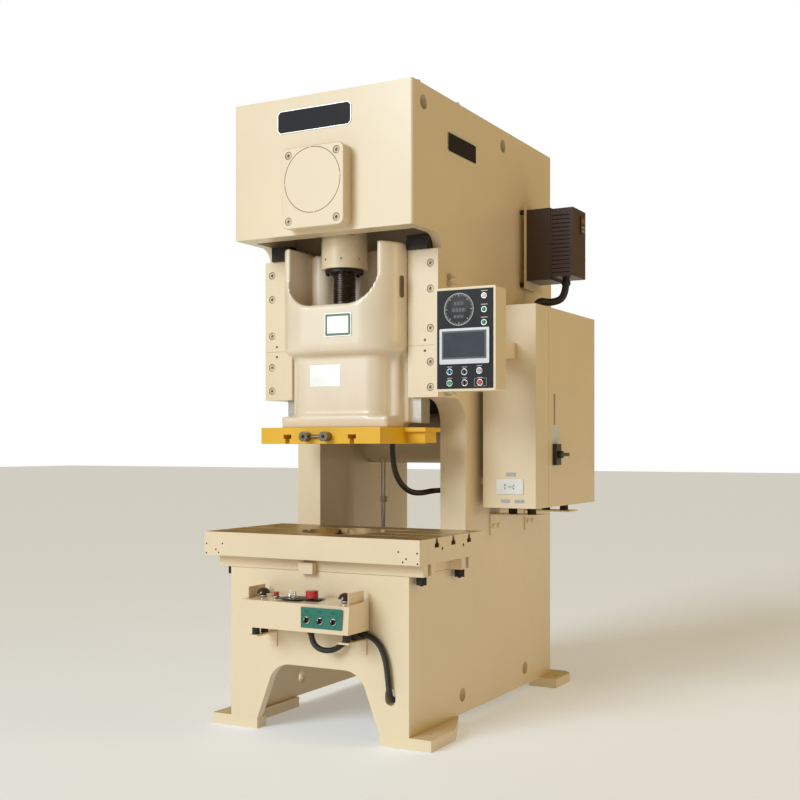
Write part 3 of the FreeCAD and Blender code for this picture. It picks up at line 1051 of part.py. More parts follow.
def console():
    """The two-hand console: a box with a leaning front, hand guards and all its buttons."""
    half = "console_width / 2"
    profile = [
        ("-console_front - console_lean", "console_bottom"), ("-console_back", "console_bottom"),
        ("-console_back", CONSOLE_TOP), ("-console_front", f"{CONSOLE_TOP} - 11"),
    ]
    box = prism("console_case", "YZ", profile, f"-{half}", half)
    guards = []
    holes = [block("console_inside", (f"box_sheet - {half}", f"{half} - box_sheet"),
                   ("box_sheet * 2 - console_front", "-console_back - box_sheet"),
                   ("console_bottom + box_sheet", f"{CONSOLE_TOP} - 11 - box_sheet"))]
    for side in (-1, 1):
        hand = "right" if side > 0 else "left"
        x = f"{side} * (palm_x + palm_radius + 16)"
        guards.append(block(f"guard_outer_{hand}", (f"{x} - guard_plate / 2", f"{x} + guard_plate / 2"),
                            ("-console_front + 30", "-console_back - 10"),
                            (f"{CONSOLE_TOP} - 14", f"{CONSOLE_TOP} + guard_height")))
        x = f"{side} * palm_x"
        holes.append(rod(f"palm_hole_{hand}", "z", (x, "-button_y", f"{CONSOLE_TOP} - 40"), "14 + slide_gap", "60"))
        stem = rod(f"palm_stem_{hand}", "z", (x, "-button_y", f"{CONSOLE_TOP} - 30"), "14", "45")
        cap = doc.addObject("Part::Sphere", f"palm_cap_{hand}")
        cap.Angle1 = 10
        bind(cap, Radius="palm_radius")
        put(cap, x, "-button_y", f"{CONSOLE_TOP} + palm_travel + 1")
        node(f"palm_button_{hand}", fuse(f"palm_shape_{hand}", stem, cap))
    singles = {"emergency_stop": ("stop_x", "stop_radius", "stop_height"),
               "console_push_button": ("-push_x", "push_radius", "push_height"),
               "console_toggle": ("-lock_x", "8", "26")}
    for name, (x, radius, height) in singles.items():
        holes.append(rod(f"{name}_hole", "z", (x, "-button_y", f"{CONSOLE_TOP} - 40"), "8 + slide_gap", "60"))
        stem = rod(f"{name}_stem", "z", (x, "-button_y", f"{CONSOLE_TOP} - 30"), "8", "40")
        cap = rod(f"{name}_cap", "z", (x, "-button_y", f"{CONSOLE_TOP} + palm_travel"), radius, height)
        node(name, fuse(f"{name}_shape", stem, cap))
    for index in range(3):
        x = f"selector_x + {index} * selector_pitch"
        holes.append(rod(f"selector_hole_{index}", "y", (x, "-console_front - console_lean - 1", "selector_z"),
                         "selector_radius + slide_gap", "40"))
        stem = rod(f"selector_stem_{index}", "y", (x, "-console_front - console_lean - selector_depth + 4",
                                                   "selector_z"), "selector_radius", "selector_depth + 14")
        grip = block(f"selector_grip_{index}", (f"{x} - 4", f"{x} + 4"),
                     ("-console_front - console_lean - selector_depth - 6",
                      "-console_front - console_lean - selector_depth + 5"), ("selector_z - 12", "selector_z + 12"))
        node(f"console_selector_{index + 1}", fuse(f"selector_shape_{index}", stem, grip))
    node("console_box", cut("console_shape", fuse("console_blank", box, *guards), *holes))

    mounts = []
    for side in (-1, 1):
        hand = "right" if side > 0 else "left"
        x = f"{side} * console_bracket_x"
        span = (f"{x} - console_bracket_width / 2", f"{x} + console_bracket_width / 2")
        low = "console_bottom - console_mount_height"
        shelf = block(f"console_shelf_{hand}", span, ("-apron_front - 175", "-apron_front"),
                      (f"{low} - console_bracket_plate", low))
        leg = block(f"console_leg_{hand}", span, ("-apron_front - console_bracket_plate", "-apron_front"),
                    (f"{low} - 80", low))
        mounts.append(fuse(f"console_angle_{hand}", shelf, leg))
        for k, y in enumerate(("-apron_front - 145", "-apron_front - 72")):
            mounts.append(rod(f"console_mount_{hand}_{k}", "z", (x, y, low), "console_mount_radius",
                              "console_mount_height"))
    node("console_mounts", group("console_mount_set", *mounts))


def conduits():
    """Flexible conduits and the slide's hose; each is held at both ends."""
    low = size("console_bottom")
    front = -size("apron_front") - size("conduit_radius") - 5
    slot_x = size("cable_slot_x")
    slot_z = size("cable_slot_z")
    points = [(40, front - 90, low), (40, front - 90, low - 56), (75, front - 72, low - 104),
              (140, front - 40, low - 108), (190, front - 6, low - 62), (222, front, low - 20),
              (300, front, low - 20), (368, front, low - 54), (405, front, low - 130), (418, front, low - 220),
              (slot_x + 5, front + 4, slot_z + 12), (slot_x + 3, front + 30, slot_z - 18),
              (slot_x + 1, 4 - size("apron_front") + size("apron_plate"), slot_z - 20)]
    console_run = bent_tube("console_conduit_run", points, size("conduit_radius"))
    collar = rod("console_collar", "z", ("40", "-apron_front - conduit_radius - 95", "console_bottom - 26"),
                 "conduit_radius + 5", "26")
    plug = block("slot_cover", ("cable_slot_x - cable_slot_width / 2 - 14", "cable_slot_x + cable_slot_width / 2 + 14"),
                 (APRON_BACK, f"{APRON_BACK} + 8"),
                 ("cable_slot_z - cable_slot_height / 2 - 12", "cable_slot_z + cable_slot_height / 2 + 12"))
    node("console_conduit", fuse("console_conduit_shape", console_run, collar, plug))

    drive_z = size("sink_bottom")
    top = size("cabinet_bottom") + size("cabinet_height")
    points = [(769, 1180, drive_z + 14), (769, 1180, drive_z - 95), (700, 1120, drive_z - 130),
              (655, 1040, drive_z - 120), (650, 1000, top + 20), (650, 1000, top)]
    node("drive_conduit", bent_tube("drive_conduit_run", points, 21))

    pipe = rod("riser_pipe", "z", ("-riser_x", "riser_y", "riser_bottom"), "riser_radius",
               "riser_top - riser_bottom")
    union = hexagon("riser_union", "z", ("-riser_x", "riser_y", "1115"), "riser_radius + 9", "34")
    node("riser_conduit", fuse("riser_shape", pipe, union))

    plate_low = size("bed_height") + size("bolster_plate") + size("shut_height")
    wall = size("frame_width") / 2 - size("side_plate") - size("column_width")
    points = [(250, 60, plate_low - size("slide_gap")), (250, 62, plate_low - 100), (256, 110, plate_low - 190),
              (264, 210, plate_low - 250), (276, 320, plate_low - 262), (wall - 75, 440, plate_low - 248),
              (wall, 440, plate_low - 248)]
    node("slide_hose", bent_tube("slide_hose_run", points, size("hose_radius")))


def fittings():
    """Lubrication fittings on the roof, beside the right cheek."""
    post = rod("breather", "z", ("fitting_x", "-65", "frame_height"), "11", "38")
    cap = rod("breather_cap", "z", ("fitting_x", "-65", "frame_height + 26"), "18", "14")
    blocks = [fuse("breather_post", post, cap)]
    riser = rod("lube_riser", "z", ("fitting_x", "60", "frame_height"), "10", "30")
    run = rod("lube_run", "y", ("fitting_x", "60", "frame_height + 20"), "7", "92")
    end = rod("lube_end", "z", ("fitting_x", "152", "frame_height"), "13", "34")
    blocks.append(fuse("lube_pipe", riser, run, end))
    body = rod("elbow_body", "z", ("fitting_x", "385", "frame_height"), "16", "42")
    arm = rod("elbow_arm", "y", ("fitting_x", "385", "frame_height + 26"), "9", "52")
    foot = rod("elbow_foot", "z", ("fitting_x", "436", "frame_height"), "14", "30")
    blocks.append(fuse("elbow", body, arm, foot))
    node("top_fittings", group("roof_fittings", *blocks))


right_frame = node("side_frame_right", side_frame())
node("side_frame_left", mirror("side_frame_left_shape", right_frame))
feet()
head()
bed()
fasteners = cover() + gibs() + jack_screws() + bolster()
node("bolts_and_screws", group("fastener_set", *fasteners))
stop_blocks()
slide()
slide_plate()
crankshaft()
gears()
flywheel()
belts()
motor()
rear_guard()
receiver()
connecting_rod()
panel()
cabinet()
outlet()
cabinet_brackets()
drive_unit()
console()
conduits()
fittings()
doc.recompute()

for item in doc.Objects:
    if "Invalid" in item.State or "Error" in item.State:
        raise RuntimeError(f"{item.Label} is {item.State}")
for item in NODES:
    if item.Shape.isNull() or not item.Shape.isValid():
        raise RuntimeError(f"{item.Label} has no valid shape")

os.makedirs("parts", exist_ok=True)
for item in NODES:
    item.Shape.exportStep(f"parts/{item.Label}.step")
    print(f"{item.Label}: {len(item.Shape.Solids)} solids, {item.Shape.Volume / 1e6:.3f} litres")
print(len(NODES), "nodes")
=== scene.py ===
import math

import bmesh
import bpy
from mathutils import Matrix, Vector


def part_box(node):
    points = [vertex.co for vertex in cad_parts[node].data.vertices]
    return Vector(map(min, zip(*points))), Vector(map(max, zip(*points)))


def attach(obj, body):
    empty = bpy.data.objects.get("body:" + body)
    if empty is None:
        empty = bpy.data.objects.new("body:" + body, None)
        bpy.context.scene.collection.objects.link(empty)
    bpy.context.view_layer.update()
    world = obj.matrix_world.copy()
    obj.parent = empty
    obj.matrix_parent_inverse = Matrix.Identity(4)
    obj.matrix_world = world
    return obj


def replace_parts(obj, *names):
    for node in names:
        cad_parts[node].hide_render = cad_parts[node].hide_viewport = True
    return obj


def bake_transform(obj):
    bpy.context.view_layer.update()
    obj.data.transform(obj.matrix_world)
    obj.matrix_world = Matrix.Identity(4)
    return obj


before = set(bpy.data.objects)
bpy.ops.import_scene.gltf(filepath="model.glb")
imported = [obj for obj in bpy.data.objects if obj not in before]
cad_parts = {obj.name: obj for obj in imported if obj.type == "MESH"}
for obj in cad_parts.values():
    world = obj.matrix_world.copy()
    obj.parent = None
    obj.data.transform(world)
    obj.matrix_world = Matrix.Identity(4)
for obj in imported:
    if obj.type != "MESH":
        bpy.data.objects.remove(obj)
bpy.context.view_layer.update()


# ---- Studio: a level camera at standing height, well to the right of the press, a pale floor,
# one broad soft light from the front left and warm light from all round, as in a catalogue.
camera = bpy.data.objects.new("camera", bpy.data.cameras.new("camera"))
bpy.context.scene.collection.objects.link(camera)
bpy.context.scene.camera = camera
camera.location = (3.156, -5.201, 1.445)
camera.rotation_euler = (math.radians(90), 0, math.radians(28.55))
camera.data.lens = 52.9
camera.data.sensor_width = 36
camera.data.shift_y = 0.0575
camera.data.clip_end = 200
bpy.context.scene.view_settings.view_transform = "Standard"

world = bpy.data.worlds.new("studio")
bpy.context.scene.world = world
world.use_nodes = True
sky = world.node_tree
sky.nodes.clear()
sky_out = sky.nodes.new("ShaderNodeOutputWorld")
sky_mix = sky.nodes.new("ShaderNodeMixShader")
sky_path = sky.nodes.new("ShaderNodeLightPath")
for index, (tint, strength) in enumerate((((1.0, 0.70, 0.27, 1), 0.31), ((1.0, 1.0, 1.0, 1), 1.0))):
    glow = sky.nodes.new("ShaderNodeBackground")
    glow.inputs["Color"].default_value = tint
    glow.inputs["Strength"].default_value = strength
    sky.links.new(glow.outputs[0], sky_mix.inputs[index + 1])
sky.links.new(sky_path.outputs["Is Camera Ray"], sky_mix.inputs["Fac"])
sky.links.new(sky_mix.outputs[0], sky_out.inputs["Surface"])


def shine(name, kind, place, aim, energy, tint, size):
    """A lamp at a place that looks at a point."""
    lamp = bpy.data.lights.new(name, kind)
    lamp.energy = energy
    lamp.color = tint
    if kind == "SUN":
        lamp.angle = math.radians(size)
    else:
        lamp.shape = "RECTANGLE"
        lamp.size, lamp.size_y = size
    holder = bpy.data.objects.new(name, lamp)
    bpy.context.scene.collection.objects.link(holder)
    holder.location = place
    holder.rotation_euler = (Vector(aim) - Vector(place)).to_track_quat("-Z", "Y").to_euler()


shine("front_wash", "SUN", (-2.2, -7.0, 4.6), (0, 0, 1.2), 1.72, (0.80, 0.93, 1.06), 28)
shine("front_softbox", "AREA", (-2.5, -5.5, 3.4), (0, 0, 1.7), 60, (0.88, 0.97, 1.05), (3.0, 3.0))
shine("side_strip", "AREA", (6.5, 1.5, 3.0), (0.5, 0.7, 1.6), 55, (1.0, 0.77, 0.42), (1.5, 4.0))

floor_mesh = bpy.data.meshes.new("floor")
FLOOR_REACH = 60
floor_mesh.from_pydata([(x * FLOOR_REACH, y * FLOOR_REACH, -0.001) for x, y in ((-1, -1), (1, -1), (1, 1), (-1, 1))],
                       [], [(0, 1, 2, 3)])
floor = bpy.data.objects.new("floor", floor_mesh)
bpy.context.scene.collection.objects.link(floor)
floor_paint = bpy.data.materials.new("floor_paint")
floor_paint.use_nodes = True
floor_paint.node_tree.nodes["Principled BSDF"].inputs["Base Color"].default_value = (0.88, 0.93, 0.97, 1)
floor_paint.node_tree.nodes["Principled BSDF"].inputs["Roughness"].default_value = 0.85
floor_paint.node_tree.nodes["Principled BSDF"].inputs["Emission Color"].default_value = (0.92, 0.96, 1.0, 1)
floor_paint.node_tree.nodes["Principled BSDF"].inputs["Emission Strength"].default_value = 0.23
floor_mesh.materials.append(floor_paint)


# ---- Welded frame: two cheeks, front plate and roof of the head, apron and feet, cut from thick plate,
# welded, filled and sprayed in gloss enamel, so the joints don't show and every edge is eased.
def paint(name, colour, rough=0.3, coat=0.25, orange_peel=0.05, mottle=0.05, scale=3.0, metal=0.0, gloss=0.5):
    """Sprayed or rubbed finish: a base with faint cloudy variation and a fine skin in relief."""
    made = bpy.data.materials.new(name)
    made.use_nodes = True
    tree = made.node_tree
    shader = tree.nodes["Principled BSDF"]
    shader.inputs["Metallic"].default_value = metal
    shader.inputs["Coat Weight"].default_value = coat
    shader.inputs["Coat Roughness"].default_value = 0.12
    shader.inputs["Specular IOR Level"].default_value = gloss
    place = tree.nodes.new("ShaderNodeTexCoord")
    cloud = tree.nodes.new("ShaderNodeTexNoise")
    cloud.inputs["Scale"].default_value = scale
    cloud.inputs["Detail"].default_value = 6
    tone = tree.nodes.new("ShaderNodeValToRGB")
    tone.color_ramp.elements[0].position = 0.3
    tone.color_ramp.elements[1].position = 0.7
    tone.color_ramp.elements[0].color = [*[c * (1 - mottle) for c in colour], 1]
    tone.color_ramp.elements[1].color = [*[min(1, c * (1 + mottle * 0.4)) for c in colour], 1]
    sheen = tree.nodes.new("ShaderNodeMapRange")
    sheen.inputs["To Min"].default_value = rough * 0.85
    sheen.inputs["To Max"].default_value = rough * 1.2
    skin = tree.nodes.new("ShaderNodeTexNoise")
    skin.inputs["Scale"].default_value = 260
    skin.inputs["Detail"].default_value = 2
    relief = tree.nodes.new("ShaderNodeBump")
    relief.inputs["Strength"].default_value = orange_peel
    relief.inputs["Distance"].default_value = 0.001
    tree.links.new(place.outputs["Object"], cloud.inputs["Vector"])
    tree.links.new(place.outputs["Object"], skin.inputs["Vector"])
    tree.links.new(cloud.outputs["Fac"], tone.inputs["Fac"])
    tree.links.new(cloud.outputs["Fac"], sheen.inputs["Value"])
    tree.links.new(tone.outputs["Color"], shader.inputs["Base Color"])
    tree.links.new(sheen.outputs["Result"], shader.inputs["Roughness"])
    tree.links.new(skin.outputs["Fac"], relief.inputs["Height"])
    tree.links.new(relief.outputs["Normal"], shader.inputs["Normal"])
    return made


def skin_area(piece):
    """The area of a mesh as it is drawn, which a broken face changes."""
    piece.data.calc_loop_triangles()
    return sum(triangle.area for triangle in piece.data.loop_triangles)


def merge_flats(piece):
    """Closes a mesh's seams and makes one face of each flat, unless a face with holes would break."""
    area = skin_area(piece)
    for flats in (True, False):
        tidy = bmesh.new()
        tidy.from_mesh(piece.data)
        bmesh.ops.remove_doubles(tidy, verts=tidy.verts, dist=1e-5)
        if flats:
            bmesh.ops.dissolve_limit(tidy, angle_limit=math.radians(0.5), verts=tidy.verts, edges=tidy.edges)
        merged = bpy.data.meshes.new(piece.name)
        tidy.to_mesh(merged)
        tidy.free()
        was, piece.data = piece.data, merged
        if abs(skin_area(piece) / area - 1) < 0.0005:
            return True
        piece.data = was
    return False


def shells(mesh):
    """The closed solids of a mesh, each as its own mesh, however they touch."""
    whole = bmesh.new()
    whole.from_mesh(mesh)
    bmesh.ops.remove_doubles(whole, verts=whole.verts, dist=1e-5)
    whole.faces.ensure_lookup_table()
    left = dict.fromkeys(whole.faces)
    while left:
        first = next(iter(left))
        del left[first]
        found, edge_of_search = [first], [first]
        while edge_of_search:
            for edge in edge_of_search.pop().edges:
                if len(edge.link_faces) != 2:
                    continue
                for face in edge.link_faces:
                    if face in left:
                        del left[face]
                        found.append(face)
                        edge_of_search.append(face)
        places = {}
        rows = [[places.setdefault(vert, len(places)) for vert in face.verts] for face in found]
        solid = bpy.data.meshes.new("solid")
        solid.from_pydata([vert.co for vert in places], [], rows)
        yield solid
    whole.free()


def outer_skin(name, nodes):
    """One clean mesh of a node, or of several touching plates with the faces between them gone."""
    meshes = [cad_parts[node].data.copy() for node in nodes]
    if len(nodes) > 1:
        meshes = [solid for mesh in meshes for solid in shells(mesh)]
    parts = []
    for index, mesh in enumerate(meshes):
        piece = bpy.data.objects.new(f"{name}_{index}", mesh)
        bpy.context.scene.collection.objects.link(piece)
        piece.data.materials.clear()
        merge_flats(piece)
        parts.append(piece)
    base = parts[0]
    for other in parts[1:]:
        union = base.modifiers.new("join", "BOOLEAN")
        union.operation = "UNION"
        union.solver = "EXACT"
        union.object = other
        bake_shape(base)
        bpy.data.objects.remove(other)
    if len(parts) > 1:
        merge_flats(base)
    base.name = name
    return base


def bake_shape(piece):
    """Turns a piece's modifiers into its mesh."""
    bpy.context.view_layer.update()
    seen = piece.evaluated_get(bpy.context.evaluated_depsgraph_get())
    shaped = bpy.data.meshes.new_from_object(seen)
    piece.modifiers.clear()
    piece.data = shaped


def crossed_share(piece):
    """The share of a mesh whose drawn triangles overlap, which is only a trace unless a face crosses itself."""
    faces = piece.data.polygons
    piece.data.calc_loop_triangles()
    drawn = [0.0] * len(faces)
    for triangle in piece.data.loop_triangles:
        drawn[triangle.polygon_index] += triangle.area
    return sum(abs(area - face.area) for area, face in zip(drawn, faces)) / sum(drawn)


def ease_edges(piece, width, steps=2, sharper_than=32):
    """Rounds the edges over a real width, less where that would break a face, and evens the shading."""
    sharp = piece.data.copy()
    area = skin_area(piece)
    while width > 0.0003:
        bevel = piece.modifiers.new("ease", "BEVEL")
        bevel.width = width
        bevel.segments = steps
        bevel.limit_method = "ANGLE"
        bevel.angle_limit = math.radians(sharper_than)
        bevel.use_clamp_overlap = True
        bake_shape(piece)
        if abs(skin_area(piece) / area - 1) < 0.02 and crossed_share(piece) < 0.001:
            break
        piece.data = sharp.copy()
        width /= 2
    smooth(piece, 40)
    flatten = piece.modifiers.new("flatten", "WEIGHTED_NORMAL")
    flatten.weight = 100
    flatten.keep_sharp = True
    bake_shape(piece)


def smooth(piece, sharp_over=40):
    piece.data.shade_smooth()
    piece.data.set_sharp_from_angle(angle=math.radians(sharp_over))


def fit(piece, finish, body, slot, *replaced):
    """Gives a piece its finish and fixes it to its body, in place of the plain solids it stands for."""
    if finish is not None:
        piece.data.materials.clear()
        piece.data.materials.append(finish)
    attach(piece, body)
    if replaced:
        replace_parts(piece, *replaced)
    return piece


def eased(name, nodes, width, finish, body="frame", slot="cream_paint", steps=2, sharper_than=32):
    """The usual plate work: the outer skin of some solids with eased edges, painted and fixed."""
    piece = outer_skin(name, nodes)
    ease_edges(piece, width, steps, sharper_than)
    return fit(piece, finish, body, slot, *nodes)


CREAM = (0.80, 0.658, 0.445)
enamel = paint("cream_enamel", CREAM, rough=0.32, coat=0.3, mottle=0.035)
frame_shell = eased("frame_shell", ["side_frame_left", "side_frame_right", "head_front_plate", "top_plate", "apron"],
                    0.004, enamel)
foot_plates = eased("foot_plates", ["feet"], 0.004, enamel)
bed_shelf = eased("bed_shelf", ["bed_plate"], 0.010, enamel, steps=3)


# ---- Inner walls: three plates that carry the shafts and the shelf of the motor, welded between
# the cheeks and sprayed with the same enamel, painted a fifth darker as the shade inside the head, and duller.
shaded_inner_enamel = paint("shaded_inner_enamel", [c * 0.8 for c in CREAM], rough=0.5, coat=0.0, mottle=0.12)
eased("bearing_plates", ["bearing_walls"], 0.003, shaded_inner_enamel)


# ---- Crank cover: a thick cast plate with rounded corners over the front bearing, with a turned ring
# in its face shown by a thin dark brown ring of painted shade in its groove, and four pins on the ring. All but the
# ring is sprayed.
def slab(name, outline, plane, low, high, finish, edge=0.0005, body="frame", slot="cream_paint", sink=None):
    """A flat plate: an outline in one plane, given a thickness along the third axis and eased edges.
    With a sink, its outer face gets a raised rim of that width and depth in the second finish."""
    turn = {"XZ": lambda a, b, c: (a, c, b), "YZ": lambda a, b, c: (c, a, b), "XY": lambda a, b, c: (a, b, c)}[plane]
    made = bmesh.new()
    ring = [made.verts.new(turn(a, b, low)) for a, b in outline]
    face = made.faces.new(ring)
    grown = bmesh.ops.extrude_face_region(made, geom=[face])
    moved = [item for item in grown["geom"] if isinstance(item, bmesh.types.BMVert)]
    shift = Vector(turn(0, 0, high)) - Vector(turn(0, 0, low))
    bmesh.ops.translate(made, verts=moved, vec=shift)
    bmesh.ops.recalc_face_normals(made, faces=made.faces)
    if sink:
        width, depth, outward, field = sink
        top = max(made.faces, key=lambda item: item.calc_center_median().dot(Vector(turn(0, 0, outward)))
                  if len(item.verts) == len(outline) else -1e9)
        bmesh.ops.inset_region(made, faces=[top], thickness=width)
        bmesh.ops.inset_region(made, faces=[top], thickness=depth, depth=-depth)
        top.material_index = 1
    mesh = bpy.data.meshes.new(name)
    made.to_mesh(mesh)
    made.free()
    piece = bpy.data.objects.new(name, mesh)
    bpy.context.scene.collection.objects.link(piece)
    mesh.materials.append(finish)
    if sink:
        mesh.materials.append(field)
    if edge:
        ease_edges(piece, edge, 2)
    return fit(piece, None, body, slot)


def corners(a0, b0, a1, b1, radius=0.0, steps=5):
    """Outline of a rectangle; a radius rounds its corners, and one step makes them clipped."""
    if not radius:
        return [(a0, b0), (a1, b0), (a1, b1), (a0, b1)]
    points = []
    for ca, cb, start in ((a1 - radius, b0 + radius, -90), (a1 - radius, b1 - radius, 0),
                          (a0 + radius, b1 - radius, 90), (a0 + radius, b0 + radius, 180)):
        for step in range(steps + 1):
            angle = math.radians(start + 90 * step / steps)
            points.append((ca + radius * math.cos(angle), cb + radius * math.sin(angle)))
    return points


def turned(name, profile, centre, axis, finish, body="frame", slot="black_steel", steps=32):
    """A turned piece: pairs of radius and distance along the axis, spun once round it."""
    direction = Vector(axis).normalized()
    side = direction.orthogonal().normalized()
    other = direction.cross(side)
    made = bmesh.new()
    rings = []
    for radius, along in profile:
        middle = Vector(centre) + direction * along
        if radius < 1e-6:
            rings.append([made.verts.new(middle)])
            continue
        rings.append([made.verts.new(middle + (side * math.cos(t) + other * math.sin(t)) * radius)
                      for t in (math.tau * k / steps for k in range(steps))])
    for low, high in zip(rings, rings[1:]):
        for k in range(steps):
            quad = [low[k % len(low)], low[(k + 1) % len(low)], high[(k + 1) % len(high)], high[k % len(high)]]
            made.faces.new(list(dict.fromkeys(quad)))
    for ring in (rings[0], rings[-1]):
        if len(ring) > 1:
            made.faces.new(ring)
    bmesh.ops.recalc_face_normals(made, faces=made.faces)
    mesh = bpy.data.meshes.new(name)
    made.to_mesh(mesh)
    made.free()
    piece = bpy.data.objects.new(name, mesh)
    bpy.context.scene.collection.objects.link(piece)
    smooth(piece, 35)
    return fit(piece, finish, body, slot)


cover = eased("cover_casting", ["crank_cover"], 0.0015, enamel)
# Dark brown paint for painted shade: the cover's ring groove and the slide's knock-out slots.
painted_recess_shade = paint("painted_recess_shade", (0.16, 0.085, 0.03), rough=0.6, coat=0.0, mottle=0.3, scale=20)
COVER_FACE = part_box("crank_cover")[0].y
CRANK_HEIGHT = 2.762
DISC_RADIUS = 0.162
disc_middle = (0, COVER_FACE, CRANK_HEIGHT)
turned("cover_ring", [(DISC_RADIUS - 0.0017, 0.0007), (DISC_RADIUS - 0.0017, -0.0002),
                      (DISC_RADIUS + 0.0017, -0.0002), (DISC_RADIUS + 0.0017, 0.0007)],
       disc_middle, (0, 1, 0), painted_recess_shade, slot="cream_paint", steps=96)
for index in range(4):
    angle = math.radians(90 * index + 4)
    pin_place = (DISC_RADIUS * math.cos(angle), COVER_FACE, CRANK_HEIGHT + DISC_RADIUS * math.sin(angle))
    turned(f"cover_pin_{index}", [(0.0, -0.0022), (0.0042, -0.0016), (0.0055, 0.0004), (0.0055, 0.004)], pin_place,
           (0, 1, 0), enamel, slot="cream_paint", steps=20)


# ---- Name plates: etched aluminium with clipped corners, a black field and a bright rim, pressed on
# with adhesive, one on the head's front and one on the right cheek. Both fields are bare.
def metal(name, colour, rough=0.3, lay=(1, 1, 1), scratch=0.08, mottle=0.15, relief=0.05, scale=60, shiny=1.0):
    """Bare metal: fine scratches stretched along the direction it was worked in, and a little staining."""
    made = bpy.data.materials.new(name)
    made.use_nodes = True
    tree = made.node_tree
    shader = tree.nodes["Principled BSDF"]
    shader.inputs["Metallic"].default_value = shiny
    place = tree.nodes.new("ShaderNodeTexCoord")
    stretch = tree.nodes.new("ShaderNodeMapping")
    stretch.inputs["Scale"].default_value = lay
    grain = tree.nodes.new("ShaderNodeTexNoise")
    grain.inputs["Scale"].default_value = scale
    grain.inputs["Detail"].default_value = 4
    stain = tree.nodes.new("ShaderNodeTexNoise")
    stain.inputs["Scale"].default_value = 7
    stain.inputs["Detail"].default_value = 7
    tone = tree.nodes.new("ShaderNodeValToRGB")
    tone.color_ramp.elements[0].position = 0.3
    tone.color_ramp.elements[1].position = 0.68
    tone.color_ramp.elements[0].color = [*[c * (1 - mottle) for c in colour], 1]
    tone.color_ramp.elements[1].color = [*colour, 1]
    gloss = tree.nodes.new("ShaderNodeMapRange")
    gloss.inputs["To Min"].default_value = rough * (1 - scratch * 4)
    gloss.inputs["To Max"].default_value = rough * (1 + scratch * 4)
    marks = tree.nodes.new("ShaderNodeBump")
    marks.inputs["Strength"].default_value = relief
    marks.inputs["Distance"].default_value = 0.0005
    tree.links.new(place.outputs["Object"], stretch.inputs["Vector"])
    tree.links.new(stretch.outputs["Vector"], grain.inputs["Vector"])
    tree.links.new(place.outputs["Object"], stain.inputs["Vector"])
    tree.links.new(stain.outputs["Fac"], tone.inputs["Fac"])
    tree.links.new(grain.outputs["Fac"], gloss.inputs["Value"])
    tree.links.new(grain.outputs["Fac"], marks.inputs["Height"])
    tree.links.new(tone.outputs["Color"], shader.inputs["Base Color"])
    tree.links.new(gloss.outputs["Result"], shader.inputs["Roughness"])
    tree.links.new(marks.outputs["Normal"], shader.inputs["Normal"])
    return made


bright_rim = metal("satin_aluminium", (0.78, 0.78, 0.76), rough=0.32, lay=(8, 1, 8))
black_field = paint("black_plate_lacquer", (0.012, 0.011, 0.012), rough=0.5, coat=0.0, mottle=0.2, scale=14, gloss=0.2)
HEAD_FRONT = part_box("head_front_plate")[0].y
CHEEK_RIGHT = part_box("side_frame_right")[1].x
slab("head_name_plate", corners(-0.254, 3.030, 0.181, 3.145, 0.016, 1), "XZ", HEAD_FRONT - 0.0045, HEAD_FRONT + 0.001,
     bright_rim, slot="bright_chrome", sink=(0.0035, 0.0008, -1, black_field))
slab("side_name_plate", corners(0.142, 2.940, 0.484, 3.040, 0.010, 1), "YZ", CHEEK_RIGHT - 0.001, CHEEK_RIGHT + 0.004,
     bright_rim, slot="bright_chrome", sink=(0.003, 0.0008, 1, black_field))


# ---- Gib blocks: ground strips that guide the slide, bolted to the cheeks in two lengths. Their faces
# are sprayed with the rest, and the stops above them are blocks of blackened steel.
eased("gib_block_right", ["gibs_right"], 0.002, enamel)
eased("gib_block_left", ["gibs_left"], 0.002, enamel)
black_oxide = paint("black_oxide", (0.030, 0.024, 0.021), rough=0.42, coat=0.0, orange_peel=0.15, mottle=0.35,
                    scale=18, metal=0.6)
eased("slide_stops", ["stop_blocks"], 0.0025, black_oxide, slot="black_steel")


# ---- Cap screws: high-tensile socket heads. Those on the gibs and the crank cover were sprayed over
# with the cream, and those below the bolster are black as bought.
def screw_ring_dark(piece, height):
    """Gives the faces below a height the second finish."""
    for face in piece.data.polygons:
        face.material_index = 1 if face.center.z < height else 0


screws = outer_skin("cap_screws", ["bolts_and_screws"])
smooth(screws, 35)
painted_screw = paint("sprayed_screw", [c * 0.82 for c in CREAM], rough=0.42, coat=0.1, mottle=0.3, scale=40)
fit(screws, painted_screw, "frame", "cream_paint", "bolts_and_screws")
screws.data.materials.append(black_oxide)
screw_ring_dark(screws, 1.65)


# ---- Bolster: a thick slab of cast steel on the bed, its sides sprayed cream and its top left bare,
# planed and worn, with three T-slots and the drop hole. The top's golden brown is partly a painted warm reflection.
bolster = eased("bolster_slab", ["bolster"], 0.003, enamel)
# The bare top's golden brown base colour is partly real worn steel and partly a painted warm reflection.
worn_top_and_reflection = metal("worn_steel_and_painted_reflection", (0.66, 0.47, 0.22), rough=0.42, lay=(1.5, 30, 1), mottle=0.5, scale=12,
                 relief=0.15, shiny=0.75)
bolster.data.materials.append(worn_top_and_reflection)
BOLSTER_LOW, BOLSTER_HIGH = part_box("bolster")
for face in bolster.data.polygons:
    inside = (abs(face.center.x) < BOLSTER_HIGH.x - 0.004 and BOLSTER_LOW.y + 0.004 < face.center.y < BOLSTER_HIGH.y - 0.004)
    if inside and face.center.z > BOLSTER_LOW.z + 0.004 or face.center.z > BOLSTER_HIGH.z - 0.0008:
        face.material_index = 1
